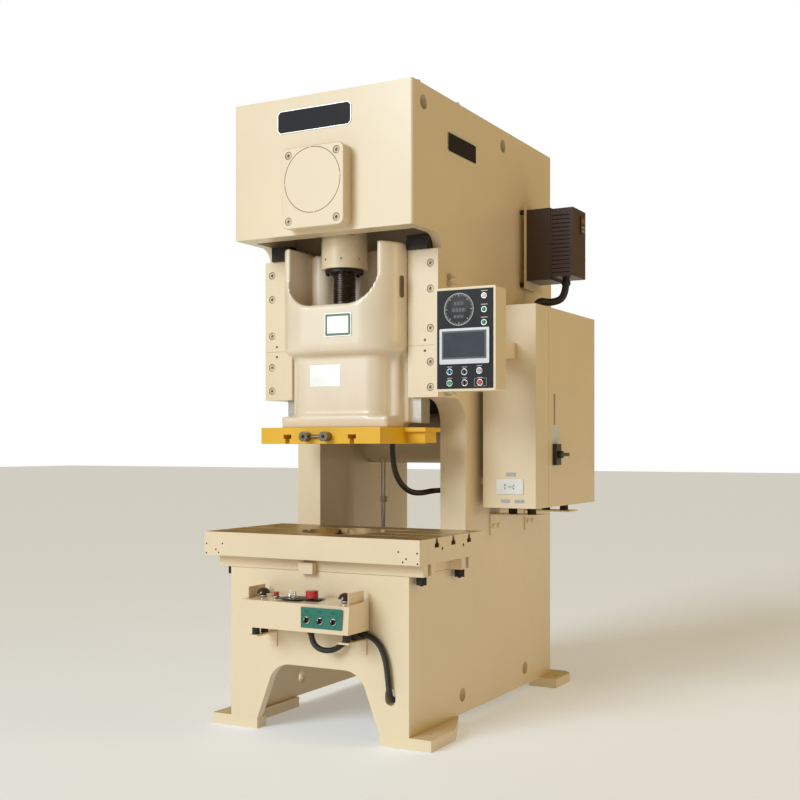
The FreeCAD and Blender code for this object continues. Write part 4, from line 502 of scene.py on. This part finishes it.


# ---- Slide: an iron casting with a rounded belly and a narrow neck, rubbed down and sprayed. Its two
# wings run in the gibs and are left as ground steel, and a slot in each side takes the knock-out bar, drawn as a thin
# dark sheet of painted shade.
SLIDE_GRAIN = 0.009
slide = outer_skin("slide_casting", ["slide"])
remesh = slide.modifiers.new("cast", "REMESH")
remesh.mode = "VOXEL"
remesh.voxel_size = SLIDE_GRAIN
soften = slide.modifiers.new("sand", "SMOOTH")
soften.factor = 0.5
soften.iterations = 4
bake_shape(slide)
for vertex in slide.data.vertices:
    if abs(vertex.co.x) > 0.350:
        vertex.co.x = max(-0.4035, min(0.4035, vertex.co.x))
        vertex.co.y = max(0.0825, min(0.1745, vertex.co.y))
        vertex.co.z = max(1.5635, min(2.4385, vertex.co.z))
smooth(slide, 60)
fit(slide, paint("casting_enamel", [CREAM[0] * 1.02, CREAM[1] * 1.06, CREAM[2] * 1.2], rough=0.3, coat=0.4, orange_peel=0.12,
                 mottle=0.05, scale=5), "slide_body", "cream_paint", "slide")
ground_steel = metal("ground_steel", (0.50, 0.46, 0.40), rough=0.3, lay=(1, 1, 14), scale=40, mottle=0.25)
for side in (-1, 1):
    inner, outer = sorted((side * 0.349, side * 0.4047))
    slab(f"slide_wing_{'left' if side < 0 else 'right'}", corners(inner, 0.0813, outer, 0.1757), "XY", 1.562, 2.440,
         ground_steel, edge=0.002, body="slide_body", slot="machined_steel")
# Thin dark brown sheets on both sides: painted shade where the knock-out slots are.
for name, x, y0, y1, z0, z1 in (("belly", 0.3462, -0.030, 0.004, 2.190, 2.300), ("foot", 0.2745, 0.000, 0.034, 1.640, 1.700)):
    for side in (-1, 1):
        inner, outer = sorted((side * (x - 0.004), side * (x + 0.0008)))
        slab(f"{name}_slot_{'left' if side < 0 else 'right'}", corners(y0, z0, y1, z1, 0.012), "YZ", inner, outer,
             painted_recess_shade, edge=0.0004, body="slide_body", slot="black_steel")


# ---- Plates on the slide: a data plate with a green rim held by four rivets, and a bare satin label
# lower down on the neck.
green_rim = paint("green_plate_lacquer", (0.10, 0.20, 0.10), rough=0.35, mottle=0.25, scale=20)
plain_silver = metal("brushed_label", (0.70, 0.69, 0.64), rough=0.38, lay=(1, 1, 12))
slab("data_plate_frame", corners(-0.012, 1.995, 0.143, 2.112, 0.005), "XZ", -0.1745, -0.165, bright_rim, body="slide_body",
     slot="bright_chrome", sink=(0.0035, 0.0007, -1, green_rim))
slab("data_plate_field", corners(0.004, 2.011, 0.127, 2.096), "XZ", -0.1752, -0.172, plain_silver, body="slide_body",
     slot="bright_chrome")
for row in range(5):
    z = 2.024 + row * 0.015
    slab(f"data_plate_line_{row}", corners(0.010, z, 0.121, z + 0.0012), "XZ", -0.1755, -0.175, green_rim, edge=0.0,
         body="slide_body", slot="green_plastic")
for index, (x, z) in enumerate(((-0.006, 2.001), (0.137, 2.001), (-0.006, 2.106), (0.137, 2.106))):
    turned(f"data_plate_rivet_{index}", [(0, -0.0026), (0.0022, -0.0020), (0.0032, 0), (0.0032, 0.003)],
           (x, -0.1745, z), (0, 1, 0), bright_rim, "slide_body", "bright_chrome", 16)
slab("neck_label", corners(-0.144, 1.749, 0.040, 1.860, 0.004), "XZ", -0.1065, -0.100, plain_silver, body="slide_body",
     slot="bright_chrome")


# ---- Slide plate: the steel tool plate bolted under the slide, sprayed warning yellow on its edges and
# left bare below, with two bright clamp screws for the tool shank in its front.
yellow = paint("yellow_enamel", (0.80, 0.44, 0.012), rough=0.36, coat=0.15, mottle=0.06, scale=6)
tool_plate = eased("tool_plate", ["slide_plate"], 0.003, yellow, "slide_body", "yellow_paint")
tool_plate.data.materials.append(ground_steel)
PLATE_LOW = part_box("slide_plate")[0].z
for face in tool_plate.data.polygons:
    face.material_index = 1 if face.center.z < PLATE_LOW + 0.0008 else 0
clamp_steel = metal("oiled_clamp_steel", (0.27, 0.235, 0.20), rough=0.24, lay=(1, 10, 1))
eased("shank_clamps", ["slide_clamps"], 0.003, clamp_steel, "slide_body", "machined_steel")
for index, x in enumerate((-0.067, 0.051)):
    turned(f"clamp_hub_{index}", [(0, -0.0035), (0.007, -0.003), (0.0095, 0), (0.0095, 0.004)], (x, -0.291, 1.492),
           (0, 1, 0), black_oxide, "slide_body", "black_steel", 20)


# ---- Drive inside the head: the forged crankshaft and its gear, the pinion shaft, the flywheel with
# its belts and the motor on its shelf. Turned faces are bright, cast ones are dark.
def dress(finish, *nodes):
    """Gives CAD parts whose shape is already right their finish."""
    for node in nodes:
        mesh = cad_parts[node]
        if not mesh.material_slots:
            mesh.data.materials.append(finish)
        for holder in mesh.material_slots:
            holder.material = finish


turned_steel = metal("turned_steel", (0.56, 0.54, 0.50), rough=0.26, lay=(1, 1, 30))
cast_iron = paint("cast_iron_primer", (0.115, 0.105, 0.095), rough=0.55, coat=0.0, orange_peel=0.4, mottle=0.3, scale=12,
                  metal=0.5)
motor_paint = paint("motor_enamel", (0.075, 0.10, 0.12), rough=0.35, mottle=0.15, scale=9)
belt_rubber = paint("belt_rubber", (0.018, 0.017, 0.016), rough=0.75, coat=0.0, orange_peel=0.3, mottle=0.3, scale=30)
dress(turned_steel, "crankshaft", "pinion_shaft")
dress(cast_iron, "main_gear", "flywheel", "motor_pulley")
dress(belt_rubber, "v_belts")
eased("motor_case", ["main_motor"], 0.003, motor_paint, slot="cream_paint")


# ---- Connecting rod: its lower end is a sprayed drum, clamped by a blackened ring with bright screws
# to the adjusting screw, which has a coarse thread, a polished neck and a ball seated in the slide.
rod_enamel = paint("rod_enamel", [c * 0.95 for c in CREAM], rough=0.36, mottle=0.12, scale=10)
eased("rod_drum", ["connecting_rod"], 0.003, rod_enamel, "rod_body", "cream_paint")
dress(black_oxide, "lock_ring")
dark_thread = metal("oiled_thread_steel", (0.10, 0.085, 0.075), rough=0.3, lay=(1, 1, 1), mottle=0.4)
dress(dark_thread, "adjusting_screw")
drum_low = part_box("connecting_rod")[0].z
ring_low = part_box("lock_ring")[0].z
for index in range(8):
    angle = math.tau * (index + 0.5) / 8
    place = (0.119 * math.cos(angle), 0.119 * math.sin(angle), drum_low + 0.045)
    turned(f"drum_screw_{index}", [(0, 0.0022), (0.0055, 0.0018), (0.0065, 0), (0.0065, -0.004)], place,
           (math.cos(angle), math.sin(angle), 0), turned_steel, "rod_body", "machined_steel", 16)
SCREW_RADIUS, THREAD_TOP, THREAD_LOW, PITCH = 0.055, ring_low + 0.004, 2.185, 0.012
thread = bmesh.new()
turns, around = int((THREAD_TOP - THREAD_LOW) / PITCH), 40
rows = []
for step in range(turns * around + 1):
    angle = math.tau * step / around
    z = THREAD_LOW + PITCH * step / around
    rows.append([thread.verts.new((r * math.cos(angle), r * math.sin(angle), z + lift))
                 for r, lift in ((SCREW_RADIUS - 0.001, -0.0052), (SCREW_RADIUS + 0.0045, -0.0016),
                                 (SCREW_RADIUS + 0.0045, 0.0016), (SCREW_RADIUS - 0.001, 0.0052))])
for low, high in zip(rows, rows[1:]):
    for k in range(3):
        thread.faces.new((low[k], high[k], high[k + 1], low[k + 1]))
    thread.faces.new((low[3], high[3], high[0], low[0]))
thread.faces.new(rows[0])
thread.faces.new(rows[-1][::-1])
bmesh.ops.recalc_face_normals(thread, faces=thread.faces)
thread_mesh = bpy.data.meshes.new("screw_thread")
thread.to_mesh(thread_mesh)
thread.free()
screw_thread = bpy.data.objects.new("screw_thread", thread_mesh)
bpy.context.scene.collection.objects.link(screw_thread)
smooth(screw_thread, 30)
fit(screw_thread, dark_thread, "rod_body", "machined_steel")


# ---- Control panel: a sheet steel box on a square duct, sprayed cream, with a black anodised face. The
# face carries a cam dial with its scale and three counters, lamps, a framed screen and two rows of
# push buttons and selectors with bright collars.
eased("panel_case", ["panel_box"], 0.0035, enamel, slot="cream_paint")
panel_black = paint("panel_anodised", (0.010, 0.0095, 0.010), rough=0.45, coat=0.0, mottle=0.2, scale=25, gloss=0.25)
dress(panel_black, "panel_face")
PANEL_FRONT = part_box("panel_face")[0].y
chrome = metal("chrome_collar", (0.80, 0.80, 0.79), rough=0.14, lay=(1, 1, 1), mottle=0.05)
scale_white = paint("scale_print", (0.62, 0.62, 0.60), rough=0.5, coat=0.0, mottle=0.1, scale=40)
grey_face = paint("grey_dial_lacquer", (0.035, 0.035, 0.038), rough=0.5, coat=0.0, mottle=0.15, scale=30, gloss=0.3)
DIAL_X, DIAL_Z, DIAL_RADIUS = 0.731, 2.095, 0.077


def on_panel(name, a0, b0, a1, b1, depth, finish, radius=0.0, back=0.0, edge=0.0, steps=4, slot="panel_black"):
    """A thin flat piece that stands on the panel's face."""
    return slab(name, corners(a0, b0, a1, b1, radius, steps), "XZ", PANEL_FRONT - depth, PANEL_FRONT - back + 0.0005, finish,
                edge, "frame", slot)


turned("dial_plate", [(0, -0.0012), (DIAL_RADIUS - 0.001, -0.0012), (DIAL_RADIUS, -0.0006), (DIAL_RADIUS, 0.0005)],
       (DIAL_X, PANEL_FRONT, DIAL_Z), (0, 1, 0), grey_face, slot="panel_black", steps=72)
turned("dial_rim", [(DIAL_RADIUS - 0.0022, 0.0), (DIAL_RADIUS - 0.0022, -0.0020), (DIAL_RADIUS + 0.0004, -0.0020),
                    (DIAL_RADIUS + 0.0004, 0.0)], (DIAL_X, PANEL_FRONT, DIAL_Z), (0, 1, 0), scale_white,
       slot="panel_black", steps=72)
marks = bmesh.new()
for index in range(72):
    angle = math.tau * index / 72
    inner = DIAL_RADIUS - (0.017 if index % 9 == 0 else 0.012 if index % 3 == 0 else 0.009)
    outer = DIAL_RADIUS - 0.0045
    half = 0.0011 if index % 9 == 0 else 0.0006
    out = Vector((math.cos(angle), 0, math.sin(angle)))
    across = Vector((-math.sin(angle), 0, math.cos(angle)))
    middle = Vector((DIAL_X, PANEL_FRONT, DIAL_Z))
    low = [marks.verts.new(middle + out * r + across * w + Vector((0, -0.0010, 0)))
           for r, w in ((inner, -half), (outer, -half), (outer, half), (inner, half))]
    high = [marks.verts.new(v.co + Vector((0, -0.0008, 0))) for v in low]
    marks.faces.new(high)
    marks.faces.new(low[::-1])
    for k in range(4):
        marks.faces.new((low[k], low[(k + 1) % 4], high[(k + 1) % 4], high[k]))
bmesh.ops.recalc_face_normals(marks, faces=marks.faces)
marks_mesh = bpy.data.meshes.new("dial_marks")
marks.to_mesh(marks_mesh)
marks.free()
dial_marks = bpy.data.objects.new("dial_marks", marks_mesh)
bpy.context.scene.collection.objects.link(dial_marks)
fit(dial_marks, scale_white, "frame", "white_plastic")

window_black = paint("counter_window", (0.008, 0.006, 0.006), rough=0.35, coat=0.0, mottle=0.2, scale=30)
dim_digit = paint("dim_digit", (0.30, 0.27, 0.24), rough=0.4, coat=0.0, mottle=0.15, scale=60)
for row, (low_z, count, high) in enumerate(((2.112, 3, 0.021), (2.081, 4, 0.021), (2.052, 3, 0.017))):
    width = 0.017 * count + 0.008
    on_panel(f"counter_{row}", DIAL_X - width / 2, low_z, DIAL_X + width / 2, low_z + high, 0.0024, window_black, 0.001,
             slot="dark_plastic")
    for place in range(count):
        left = DIAL_X - width / 2 + 0.0065 + place * 0.017
        tall = high - 0.008
        for index, (a, b, c, d) in enumerate(((0, 0, 8, 1), (0, 1, 8, 2), (0, 0.5, 8, 0.5), (0, 0, 0, 1), (8, 0, 8, 1))):
            x0, x1 = left + a * 0.001, left + c * 0.001
            z0, z1 = low_z + 0.004 + min(b, 1) * tall, low_z + 0.004 + min(d, 1) * tall
            if index == 0:
                x0, x1, z1 = left, left + 0.008, z0
            if index == 1:
                z0 = z1
            on_panel(f"counter_{row}_digit_{place}_{index}", x0 - 0.0006, z0 - 0.0006, x1 + 0.0006, z1 + 0.0006, 0.0028,
                     dim_digit, back=0.0022, slot="grey_plastic")


def lamp(name, x, z, radius, finish, slot):
    """A domed indicator lamp or push button head in a bright threaded collar."""
    turned(f"{name}_collar", [(radius + 0.0035, 0.0005), (radius + 0.0035, -0.003), (radius + 0.002, -0.0045),
                              (radius, -0.0045), (radius, -0.003)], (x, PANEL_FRONT, z), (0, 1, 0), chrome,
           slot="bright_chrome", steps=28)
    turned(f"{name}_lens", [(0, -0.0115), (radius * 0.5, -0.0105), (radius * 0.85, -0.0075), (radius, -0.0035), (radius, 0)],
           (x, PANEL_FRONT, z), (0, 1, 0), finish, slot=slot, steps=28)


white_lens = paint("white_lens", (0.72, 0.72, 0.70), rough=0.18, coat=0.5, mottle=0.1, scale=30)
green_lens = paint("green_lens", (0.010, 0.30, 0.115), rough=0.15, coat=0.6, mottle=0.2, scale=30)
red_button = paint("red_moulding", (0.50, 0.016, 0.014), rough=0.25, coat=0.4, mottle=0.12, scale=25)
blue_button = paint("blue_moulding", (0.03, 0.16, 0.34), rough=0.28, coat=0.3, mottle=0.12, scale=25)
grey_button = paint("grey_moulding", (0.40, 0.41, 0.40), rough=0.3, coat=0.2, mottle=0.12, scale=25)
black_knob = paint("black_knob", (0.014, 0.013, 0.013), rough=0.3, coat=0.2, mottle=0.25, scale=30)
lamp("mains_lamp", 0.863, 2.153, 0.0115, white_lens, "white_plastic")
lamp("ready_lamp", 0.863, 2.088, 0.0115, green_lens, "green_plastic")
lamp("run_lamp", 0.863, 2.027, 0.0115, green_lens, "green_plastic")
for index, z in enumerate((2.176, 2.112, 2.051)):
    on_panel(f"lamp_mark_{index}", 0.846, z - 0.0015, 0.880, z + 0.0015, 0.0006, scale_white, slot="white_plastic")
for name, x, z in (("grey", 0.838, 1.801), ("red", 0.841, 1.745), ("green", 0.682, 1.745), ("blue", 0.682, 1.799),
                   ("small", 0.760, 1.797), ("key", 0.762, 1.745)):
    turned(f"{name}_button_collar", [(0.0165, 0.0005), (0.0165, -0.0018), (0.0150, -0.0034), (0.0128, -0.0034),
                                     (0.0128, 0.0005)], (x, PANEL_FRONT, z), (0, 1, 0), chrome, slot="bright_chrome", steps=28)
    on_panel(f"{name}_button_mark", x - 0.013, z + 0.0215, x + 0.013, z + 0.0240, 0.0006, scale_white, slot="white_plastic")
dress(grey_button, "panel_grey_button")
dress(red_button, "panel_red_button")
dress(green_lens, "panel_green_button")
dress(blue_button, "panel_blue_selector")
dress(black_knob, "panel_small_selector", "panel_key_selector")
for a0, b0, a1, b1 in ((0.812, 1.7275, 0.874, 1.7285), (0.812, 1.7645, 0.874, 1.7655), (0.8115, 1.7275, 0.8125, 1.7655),
                       (0.8735, 1.7275, 0.8745, 1.7655)):
    on_panel(f"stop_outline_{int(a0 * 1e4)}_{int(b0 * 1e4)}", a0, b0, a1, b1, 0.0006, scale_white, slot="white_plastic")

silver_bezel = paint("silver_bezel", (0.46, 0.465, 0.46), rough=0.36, coat=0.1, mottle=0.08, scale=12, metal=0.5)
screen_glass = paint("screen_glass", (0.022, 0.030, 0.040), rough=0.3, coat=0.0, orange_peel=0.0, mottle=0.4, scale=9, gloss=0.3)
slate_ring = paint("slate_ring", (0.055, 0.062, 0.078), rough=0.3, coat=0.2, mottle=0.1, scale=20)
slab("screen_bezel", corners(0.631, 1.834, 0.892, 2.004, 0.006), "XZ", PANEL_FRONT - 0.008, PANEL_FRONT + 0.0005, silver_bezel,
     0.0012, slot="grey_plastic")
slab("screen_ring", corners(0.645, 1.858, 0.877, 1.992), "XZ", PANEL_FRONT - 0.0095, PANEL_FRONT - 0.007, slate_ring,
     0.0, slot="dark_plastic", sink=(0.012, 0.0012, -1, screen_glass))


# ---- Side cabinet: a folded sheet steel cupboard for the switchgear, sprayed cream, with one door on
# its outer side. The door has a flush pull, a bare label and a black switch with a lever. On the
# front is a white outlet. It stands on angle brackets with rubber isolators between.
cabinet_paint = paint("cabinet_enamel", [CREAM[0] * 0.98, CREAM[1] * 0.98, CREAM[2] * 0.97], rough=0.38, coat=0.15,
                      orange_peel=0.12, mottle=0.04)
eased("cabinet_body", ["cabinet_shell"], 0.002, cabinet_paint, slot="cream_paint")
door = eased("cabinet_door_panel", ["cabinet_door"], 0.002, cabinet_paint, "cabinet_door_body", "cream_paint")
door.data.materials.append(black_knob)
DOOR_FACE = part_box("cabinet_shell")[1].x
for face in door.data.polygons:
    face.material_index = 1 if face.center.x > DOOR_FACE + 0.0008 else 0
pull_steel = metal("pull_steel", (0.60, 0.55, 0.44), rough=0.35, lay=(1, 1, 10))
eased("door_pull", ["door_handle"], 0.0015, pull_steel, "door_handle_body", "machined_steel")
eased("switch_lever", ["disconnect_lever"], 0.002, black_knob, "disconnect_lever_body", "dark_plastic")
label_white = paint("label_stock", (0.66, 0.65, 0.60), rough=0.5, coat=0.0, mottle=0.08, scale=30)
label_grey = paint("grey_label_stock", (0.42, 0.42, 0.42), rough=0.5, coat=0.0, mottle=0.12, scale=30)
slab("door_label", corners(0.700, 1.461, 0.830, 1.548, 0.004), "YZ", DOOR_FACE - 0.0005, DOOR_FACE + 0.0008, label_white, 0.0003,
     "cabinet_door_body", "white_plastic")
white_moulding = paint("white_moulding", (0.78, 0.77, 0.74), rough=0.28, coat=0.3, mottle=0.04, scale=20)
socket_dark = paint("socket_dark", (0.07, 0.045, 0.03), rough=0.6, coat=0.0, mottle=0.3, scale=40)
eased("outlet_plate", ["socket_outlet"], 0.0015, white_moulding, slot="white_plastic")
OUTLET_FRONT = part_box("socket_outlet")[0].y
# The outlet's pin holes are dark sheets on its face, painted shade inside the holes.
for index, (x, z, w, h) in enumerate(((0.690, 1.241, 0.005, 0.009), (0.690, 1.222, 0.005, 0.009), (0.716, 1.2305, 0.010, 0.0045),
                                      (0.738, 1.239, 0.004, 0.008), (0.738, 1.222, 0.004, 0.008), (0.728, 1.2305, 0.004, 0.004))):
    slab(f"outlet_slot_{index}", corners(x - w / 2, z - h / 2, x + w / 2, z + h / 2), "XZ", OUTLET_FRONT - 0.0004,
         OUTLET_FRONT + 0.002, socket_dark, 0.0, slot="dark_plastic")
for index, (x0, z0, x1, z1) in enumerate(((0.694, 1.285, 0.750, 1.306), (0.664, 1.146, 0.716, 1.164), (0.742, 1.146, 0.796, 1.164))):
    slab(f"outlet_label_{index}", corners(x0, z0, x1, z1, 0.002), "XZ", 0.4902, 0.4915, label_grey, 0.0002, slot="grey_plastic")


def two_finishes(name, node, width, first, second, chosen, body="frame", slot="cream_paint"):
    """Eased plate work whose chosen faces, such as rubber between two plates, take a second finish."""
    piece = eased(name, [node], width, first, body, slot)
    piece.data.materials.append(second)
    for item in piece.data.polygons:
        item.material_index = 1 if chosen(item.center) else 0
    return piece


mount_rubber = paint("mount_rubber", (0.022, 0.017, 0.015), rough=0.6, coat=0.0, orange_peel=0.2, mottle=0.3, scale=25)
two_finishes("cabinet_brackets", "cabinet_mounts", 0.0015, enamel, mount_rubber, lambda c: c.z > 1.0762)


# ---- Drive unit: a dark brown ribbed case on a cream plate that stands off the cheek on rubber. It
# has a keypad with a small red display on its cover and a seam between the cover's two halves.
two_finishes("drive_stand", "drive_bracket", 0.0015, enamel, mount_rubber, lambda c: c.x < 0.5515)
drive_brown = paint("drive_brown_moulding", (0.050, 0.024, 0.017), rough=0.42, coat=0.1, orange_peel=0.2, mottle=0.15, scale=14)
dress(drive_brown, "drive_unit")
DRIVE_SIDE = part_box("drive_unit")[1].x
slab("drive_keypad", corners(1.196, 2.655, 1.272, 2.762, 0.012), "YZ", DRIVE_SIDE - 0.001, DRIVE_SIDE + 0.005, black_knob, 0.0012,
     slot="dark_plastic")
red_glow = paint("red_display", (0.32, 0.006, 0.004), rough=0.2, coat=0.6, mottle=0.3, scale=60)
slab("drive_display", corners(1.208, 2.722, 1.260, 2.748, 0.002), "YZ", DRIVE_SIDE + 0.004, DRIVE_SIDE + 0.0058, red_glow, 0.0003,
     slot="red_plastic")
for index in range(6):
    y, z = 1.212 + 0.017 * (index % 3), 2.672 + 0.020 * (index // 3)
    slab(f"drive_key_{index}", corners(y, z, y + 0.011, z + 0.011, 0.002), "YZ", DRIVE_SIDE + 0.004, DRIVE_SIDE + 0.0066,
         grey_button, 0.0006, slot="grey_plastic")
slab("drive_seam", corners(1.0765, 2.523, 1.2875, 2.526), "YZ", DRIVE_SIDE - 0.001, DRIVE_SIDE + 0.0006, socket_dark, 0.0,
     slot="dark_plastic")


# ---- Two-hand console: a folded box in front of the apron, sprayed cream, hung on rubber isolators. Two
# brown mushroom buttons stand between guards, with the stop, the key and a toggle between them, and
# a green plate with three selectors is riveted to its front.
eased("console_case", ["console_box"], 0.0015, enamel, slot="cream_paint")
two_finishes("console_brackets", "console_mounts", 0.001, enamel, mount_rubber, lambda c: c.z > 0.5122)
mushroom = paint("brown_mushroom", (0.040, 0.022, 0.015), rough=0.3, coat=0.3, mottle=0.2, scale=25)
dress(mushroom, "palm_button_left", "palm_button_right")
dress(red_button, "emergency_stop", "console_push_button")
dress(chrome, "console_toggle")
dress(black_knob, "console_selector_1", "console_selector_2", "console_selector_3")
CONSOLE_TOP = 0.700
CONSOLE_FRONT = -0.485
for name, x, radius in (("palm_left", -0.237, 0.017), ("palm_right", 0.237, 0.017), ("push", -0.161, 0.0145),
                        ("toggle", -0.051, 0.0115)):
    turned(f"{name}_collar", [(radius + 0.005, -0.001), (radius + 0.005, 0.004), (radius + 0.003, 0.006),
                              (radius, 0.006), (radius, -0.001)], (x, -0.385, CONSOLE_TOP), (0, 0, 1), chrome,
           slot="bright_chrome", steps=32)
slab("console_top_plate", corners(-0.118, -0.452, 0.008, -0.318, 0.004), "XY", CONSOLE_TOP - 0.0005, CONSOLE_TOP + 0.0012,
     panel_black, 0.0004, slot="panel_black")
slab("stop_plate", corners(0.012, -0.425, 0.100, -0.340, 0.004), "XY", CONSOLE_TOP - 0.0005, CONSOLE_TOP + 0.001,
     panel_black, 0.0004, slot="panel_black")
turned("key_lock", [(0.0, 0.016), (0.009, 0.015), (0.0105, 0.012), (0.0105, 0.004), (0.0145, 0.003), (0.0145, -0.001)],
       (-0.088, -0.372, CONSOLE_TOP), (0, 0, 1), chrome, slot="bright_chrome", steps=28)
slab("key_blade", corners(-0.0955, 0.7155, -0.0805, 0.740, 0.005), "XZ", -0.3730, -0.3710, chrome, 0.0004, slot="bright_chrome")
teal = paint("green_engraved_plate", (0.012, 0.175, 0.120), rough=0.42, coat=0.05, mottle=0.10, scale=14)
slab("selector_plate", corners(0.050, 0.577, 0.280, 0.676, 0.002), "XZ", CONSOLE_FRONT - 0.0014, CONSOLE_FRONT + 0.0005, teal,
     0.0004, slot="green_plastic")
dark_print = paint("dark_print", (0.015, 0.035, 0.028), rough=0.5, coat=0.0, mottle=0.2, scale=40)
for index, x in enumerate((0.082, 0.157, 0.232)):
    turned(f"selector_collar_{index}", [(0.0175, 0.0005), (0.0175, -0.0030), (0.0160, -0.0045), (0.0142, -0.0045),
                                        (0.0142, 0.0005)], (x, CONSOLE_FRONT, 0.615), (0, 1, 0), chrome,
           slot="bright_chrome", steps=28)
    for mark, (dx, dz, w, h) in enumerate(((-0.022, 0.024, 0.012, 0.0022), (0.022, 0.024, 0.012, 0.0022),
                                           (0.0, 0.044, 0.030, 0.0030), (0.0, 0.0375, 0.022, 0.0022))):
        slab(f"selector_mark_{index}_{mark}", corners(x + dx - w / 2, 0.615 + dz - h / 2, x + dx + w / 2, 0.615 + dz + h / 2),
             "XZ", CONSOLE_FRONT - 0.0018, CONSOLE_FRONT - 0.001, dark_print, 0.0, slot="green_plastic")
    slab(f"selector_pointer_{index}", corners(x - 0.0014, 0.6165, x + 0.0014, 0.6265), "XZ", -0.5078, -0.5065, white_moulding, 0.0,
         f"console_selector_{index + 1}_body", "white_plastic")


# ---- Conduits: ribbed black hose in nylon glands, from the console into the apron, from the drive unit
# into the cabinet, and from the slide plate back to the column.
def ribbed(name, route, radius, node, body="frame", slot="black_rubber", bends=None):
    """A ribbed hose along one smooth line through its clips; one given bends is baked where it lies and fixed to no
    body, and what bends lists is not used.
    """
    guide = bpy.data.curves.new(f"{name}_line", "CURVE")
    guide.dimensions = "3D"
    guide.resolution_u = 24
    line = guide.splines.new("NURBS")
    line.points.add(len(route) - 1)
    for point, place in zip(line.points, route):
        point.co = (*[value / 1000 for value in place], 1)
    line.order_u = 3
    line.use_endpoint_u = True
    holder = bpy.data.objects.new(f"{name}_line", guide)
    bpy.context.scene.collection.objects.link(holder)
    bpy.context.view_layer.update()
    drawn = bpy.data.meshes.new_from_object(holder.evaluated_get(bpy.context.evaluated_depsgraph_get()))
    track = [vertex.co.copy() for vertex in drawn.vertices]
    bpy.data.objects.remove(holder)
    bpy.data.meshes.remove(drawn)
    pitch, walked, places = 0.0016, 0.0, [track[0]]
    for start, end in zip(track, track[1:]):
        run = (end - start).length
        while run > 0 and walked + run >= pitch:
            start = start + (end - start) * ((pitch - walked) / run)
            run = (end - start).length
            walked = 0.0
            places.append(start)
        walked += run
    places.append(track[-1])
    made = bmesh.new()
    side = (places[1] - places[0]).orthogonal().normalized()
    rings = []
    for index, place in enumerate(places):
        ahead = (places[min(index + 1, len(places) - 1)] - places[max(index - 1, 0)]).normalized()
        side = (side - ahead * side.dot(ahead)).normalized()
        other = ahead.cross(side)
        swell = radius - 0.0018 * (index % 4 in (1, 2))
        rings.append([made.verts.new(place + (side * math.cos(t) + other * math.sin(t)) * swell)
                      for t in (math.tau * k / 20 for k in range(20))])
    for low, high in zip(rings, rings[1:]):
        for k in range(20):
            made.faces.new((low[k], low[(k + 1) % 20], high[(k + 1) % 20], high[k]))
    made.faces.new(rings[0])
    made.faces.new(rings[-1])
    bmesh.ops.recalc_face_normals(made, faces=made.faces)
    mesh = bpy.data.meshes.new(name)
    made.to_mesh(mesh)
    made.free()
    hose = bpy.data.objects.new(name, mesh)
    bpy.context.scene.collection.objects.link(hose)
    hose.data.shade_smooth()
    if not bends:
        return fit(hose, hose_rubber, body, slot, node)
    hose.data.materials.append(hose_rubber)
    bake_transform(hose)
    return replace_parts(hose, node)


def gland(name, place, axis, radius, body="frame"):
    """A hexagonal nylon nut and its dome where a hose enters a wall; the axis points out of the wall."""
    turned(f"{name}_nut", [(radius + 0.007, -0.001), (radius + 0.007, 0.009), (radius + 0.005, 0.011)], place, axis,
           mount_rubber, body, "black_rubber", 6)
    turned(f"{name}_dome", [(radius + 0.0045, 0.010), (radius + 0.0045, 0.020), (radius + 0.002, 0.026), (radius + 0.0008, 0.027)],
           place, axis, mount_rubber, body, "black_rubber", 32)


hose_rubber = paint("hose_rubber", (0.020, 0.016, 0.013), rough=0.42, coat=0.05, orange_peel=0.1, mottle=0.35, scale=22)
ribbed("console_hose", [(40, -380, 556), (40, -380, 500), (75, -362, 452), (140, -330, 448), (190, -296, 494), (222, -290, 536),
                        (300, -290, 536), (368, -290, 502), (405, -290, 426), (418, -290, 336), (425, -286, 252),
                        (423, -260, 222), (421, -216, 220)], 0.015, "console_conduit")
gland("console_gland", (0.040, -0.380, 0.556), (0, 0, -1), 0.015)
ribbed("drive_hose", [(769, 1180, 2406), (769, 1180, 2297), (700, 1120, 2262), (655, 1040, 2272), (650, 1000, 2206),
                      (650, 1000, 2186)], 0.021, "drive_conduit")
gland("drive_gland", (0.769, 1.180, 2.392), (0, 0, -1), 0.021)
gland("cabinet_gland", (0.650, 1.000, 2.186), (0, 0, 1), 0.021)
ribbed("slide_air_hose", [(250, 60, 1455.7), (250, 62, 1356), (256, 110, 1266), (264, 210, 1206), (276, 320, 1194),
                          (300, 440, 1208), (375, 440, 1208)], 0.015, "slide_hose",
       bends=("slide_body", "frame", (0.250, 0.060, 1.420), (0.375, 0.440, 1.208)))
gland("column_gland", (0.375, 0.440, 1.208), (-1, 0, 0), 0.015)


# ---- Air and oil fittings: a welded steel tank between the cheeks that feeds the clutch, its plated
# riser with a union nut, and the lubrication elbows on the roof.
# The tank takes the darker inner enamel, painted shade for its place between the cheeks.
eased("air_tank", ["air_receiver"], 0.003, shaded_inner_enamel, slot="cream_paint")
plated_pipe = metal("plated_pipe", (0.62, 0.60, 0.54), rough=0.3, lay=(1, 1, 6))
dress(plated_pipe, "riser_conduit", "top_fittings")


# ---- Rear guard: a folded sheet cover with pressed louvres over the flywheel and the belts, screwed to
# the back of the frame.
eased("rear_cover", ["rear_guard"], 0.002, cabinet_paint, slot="cream_paint")
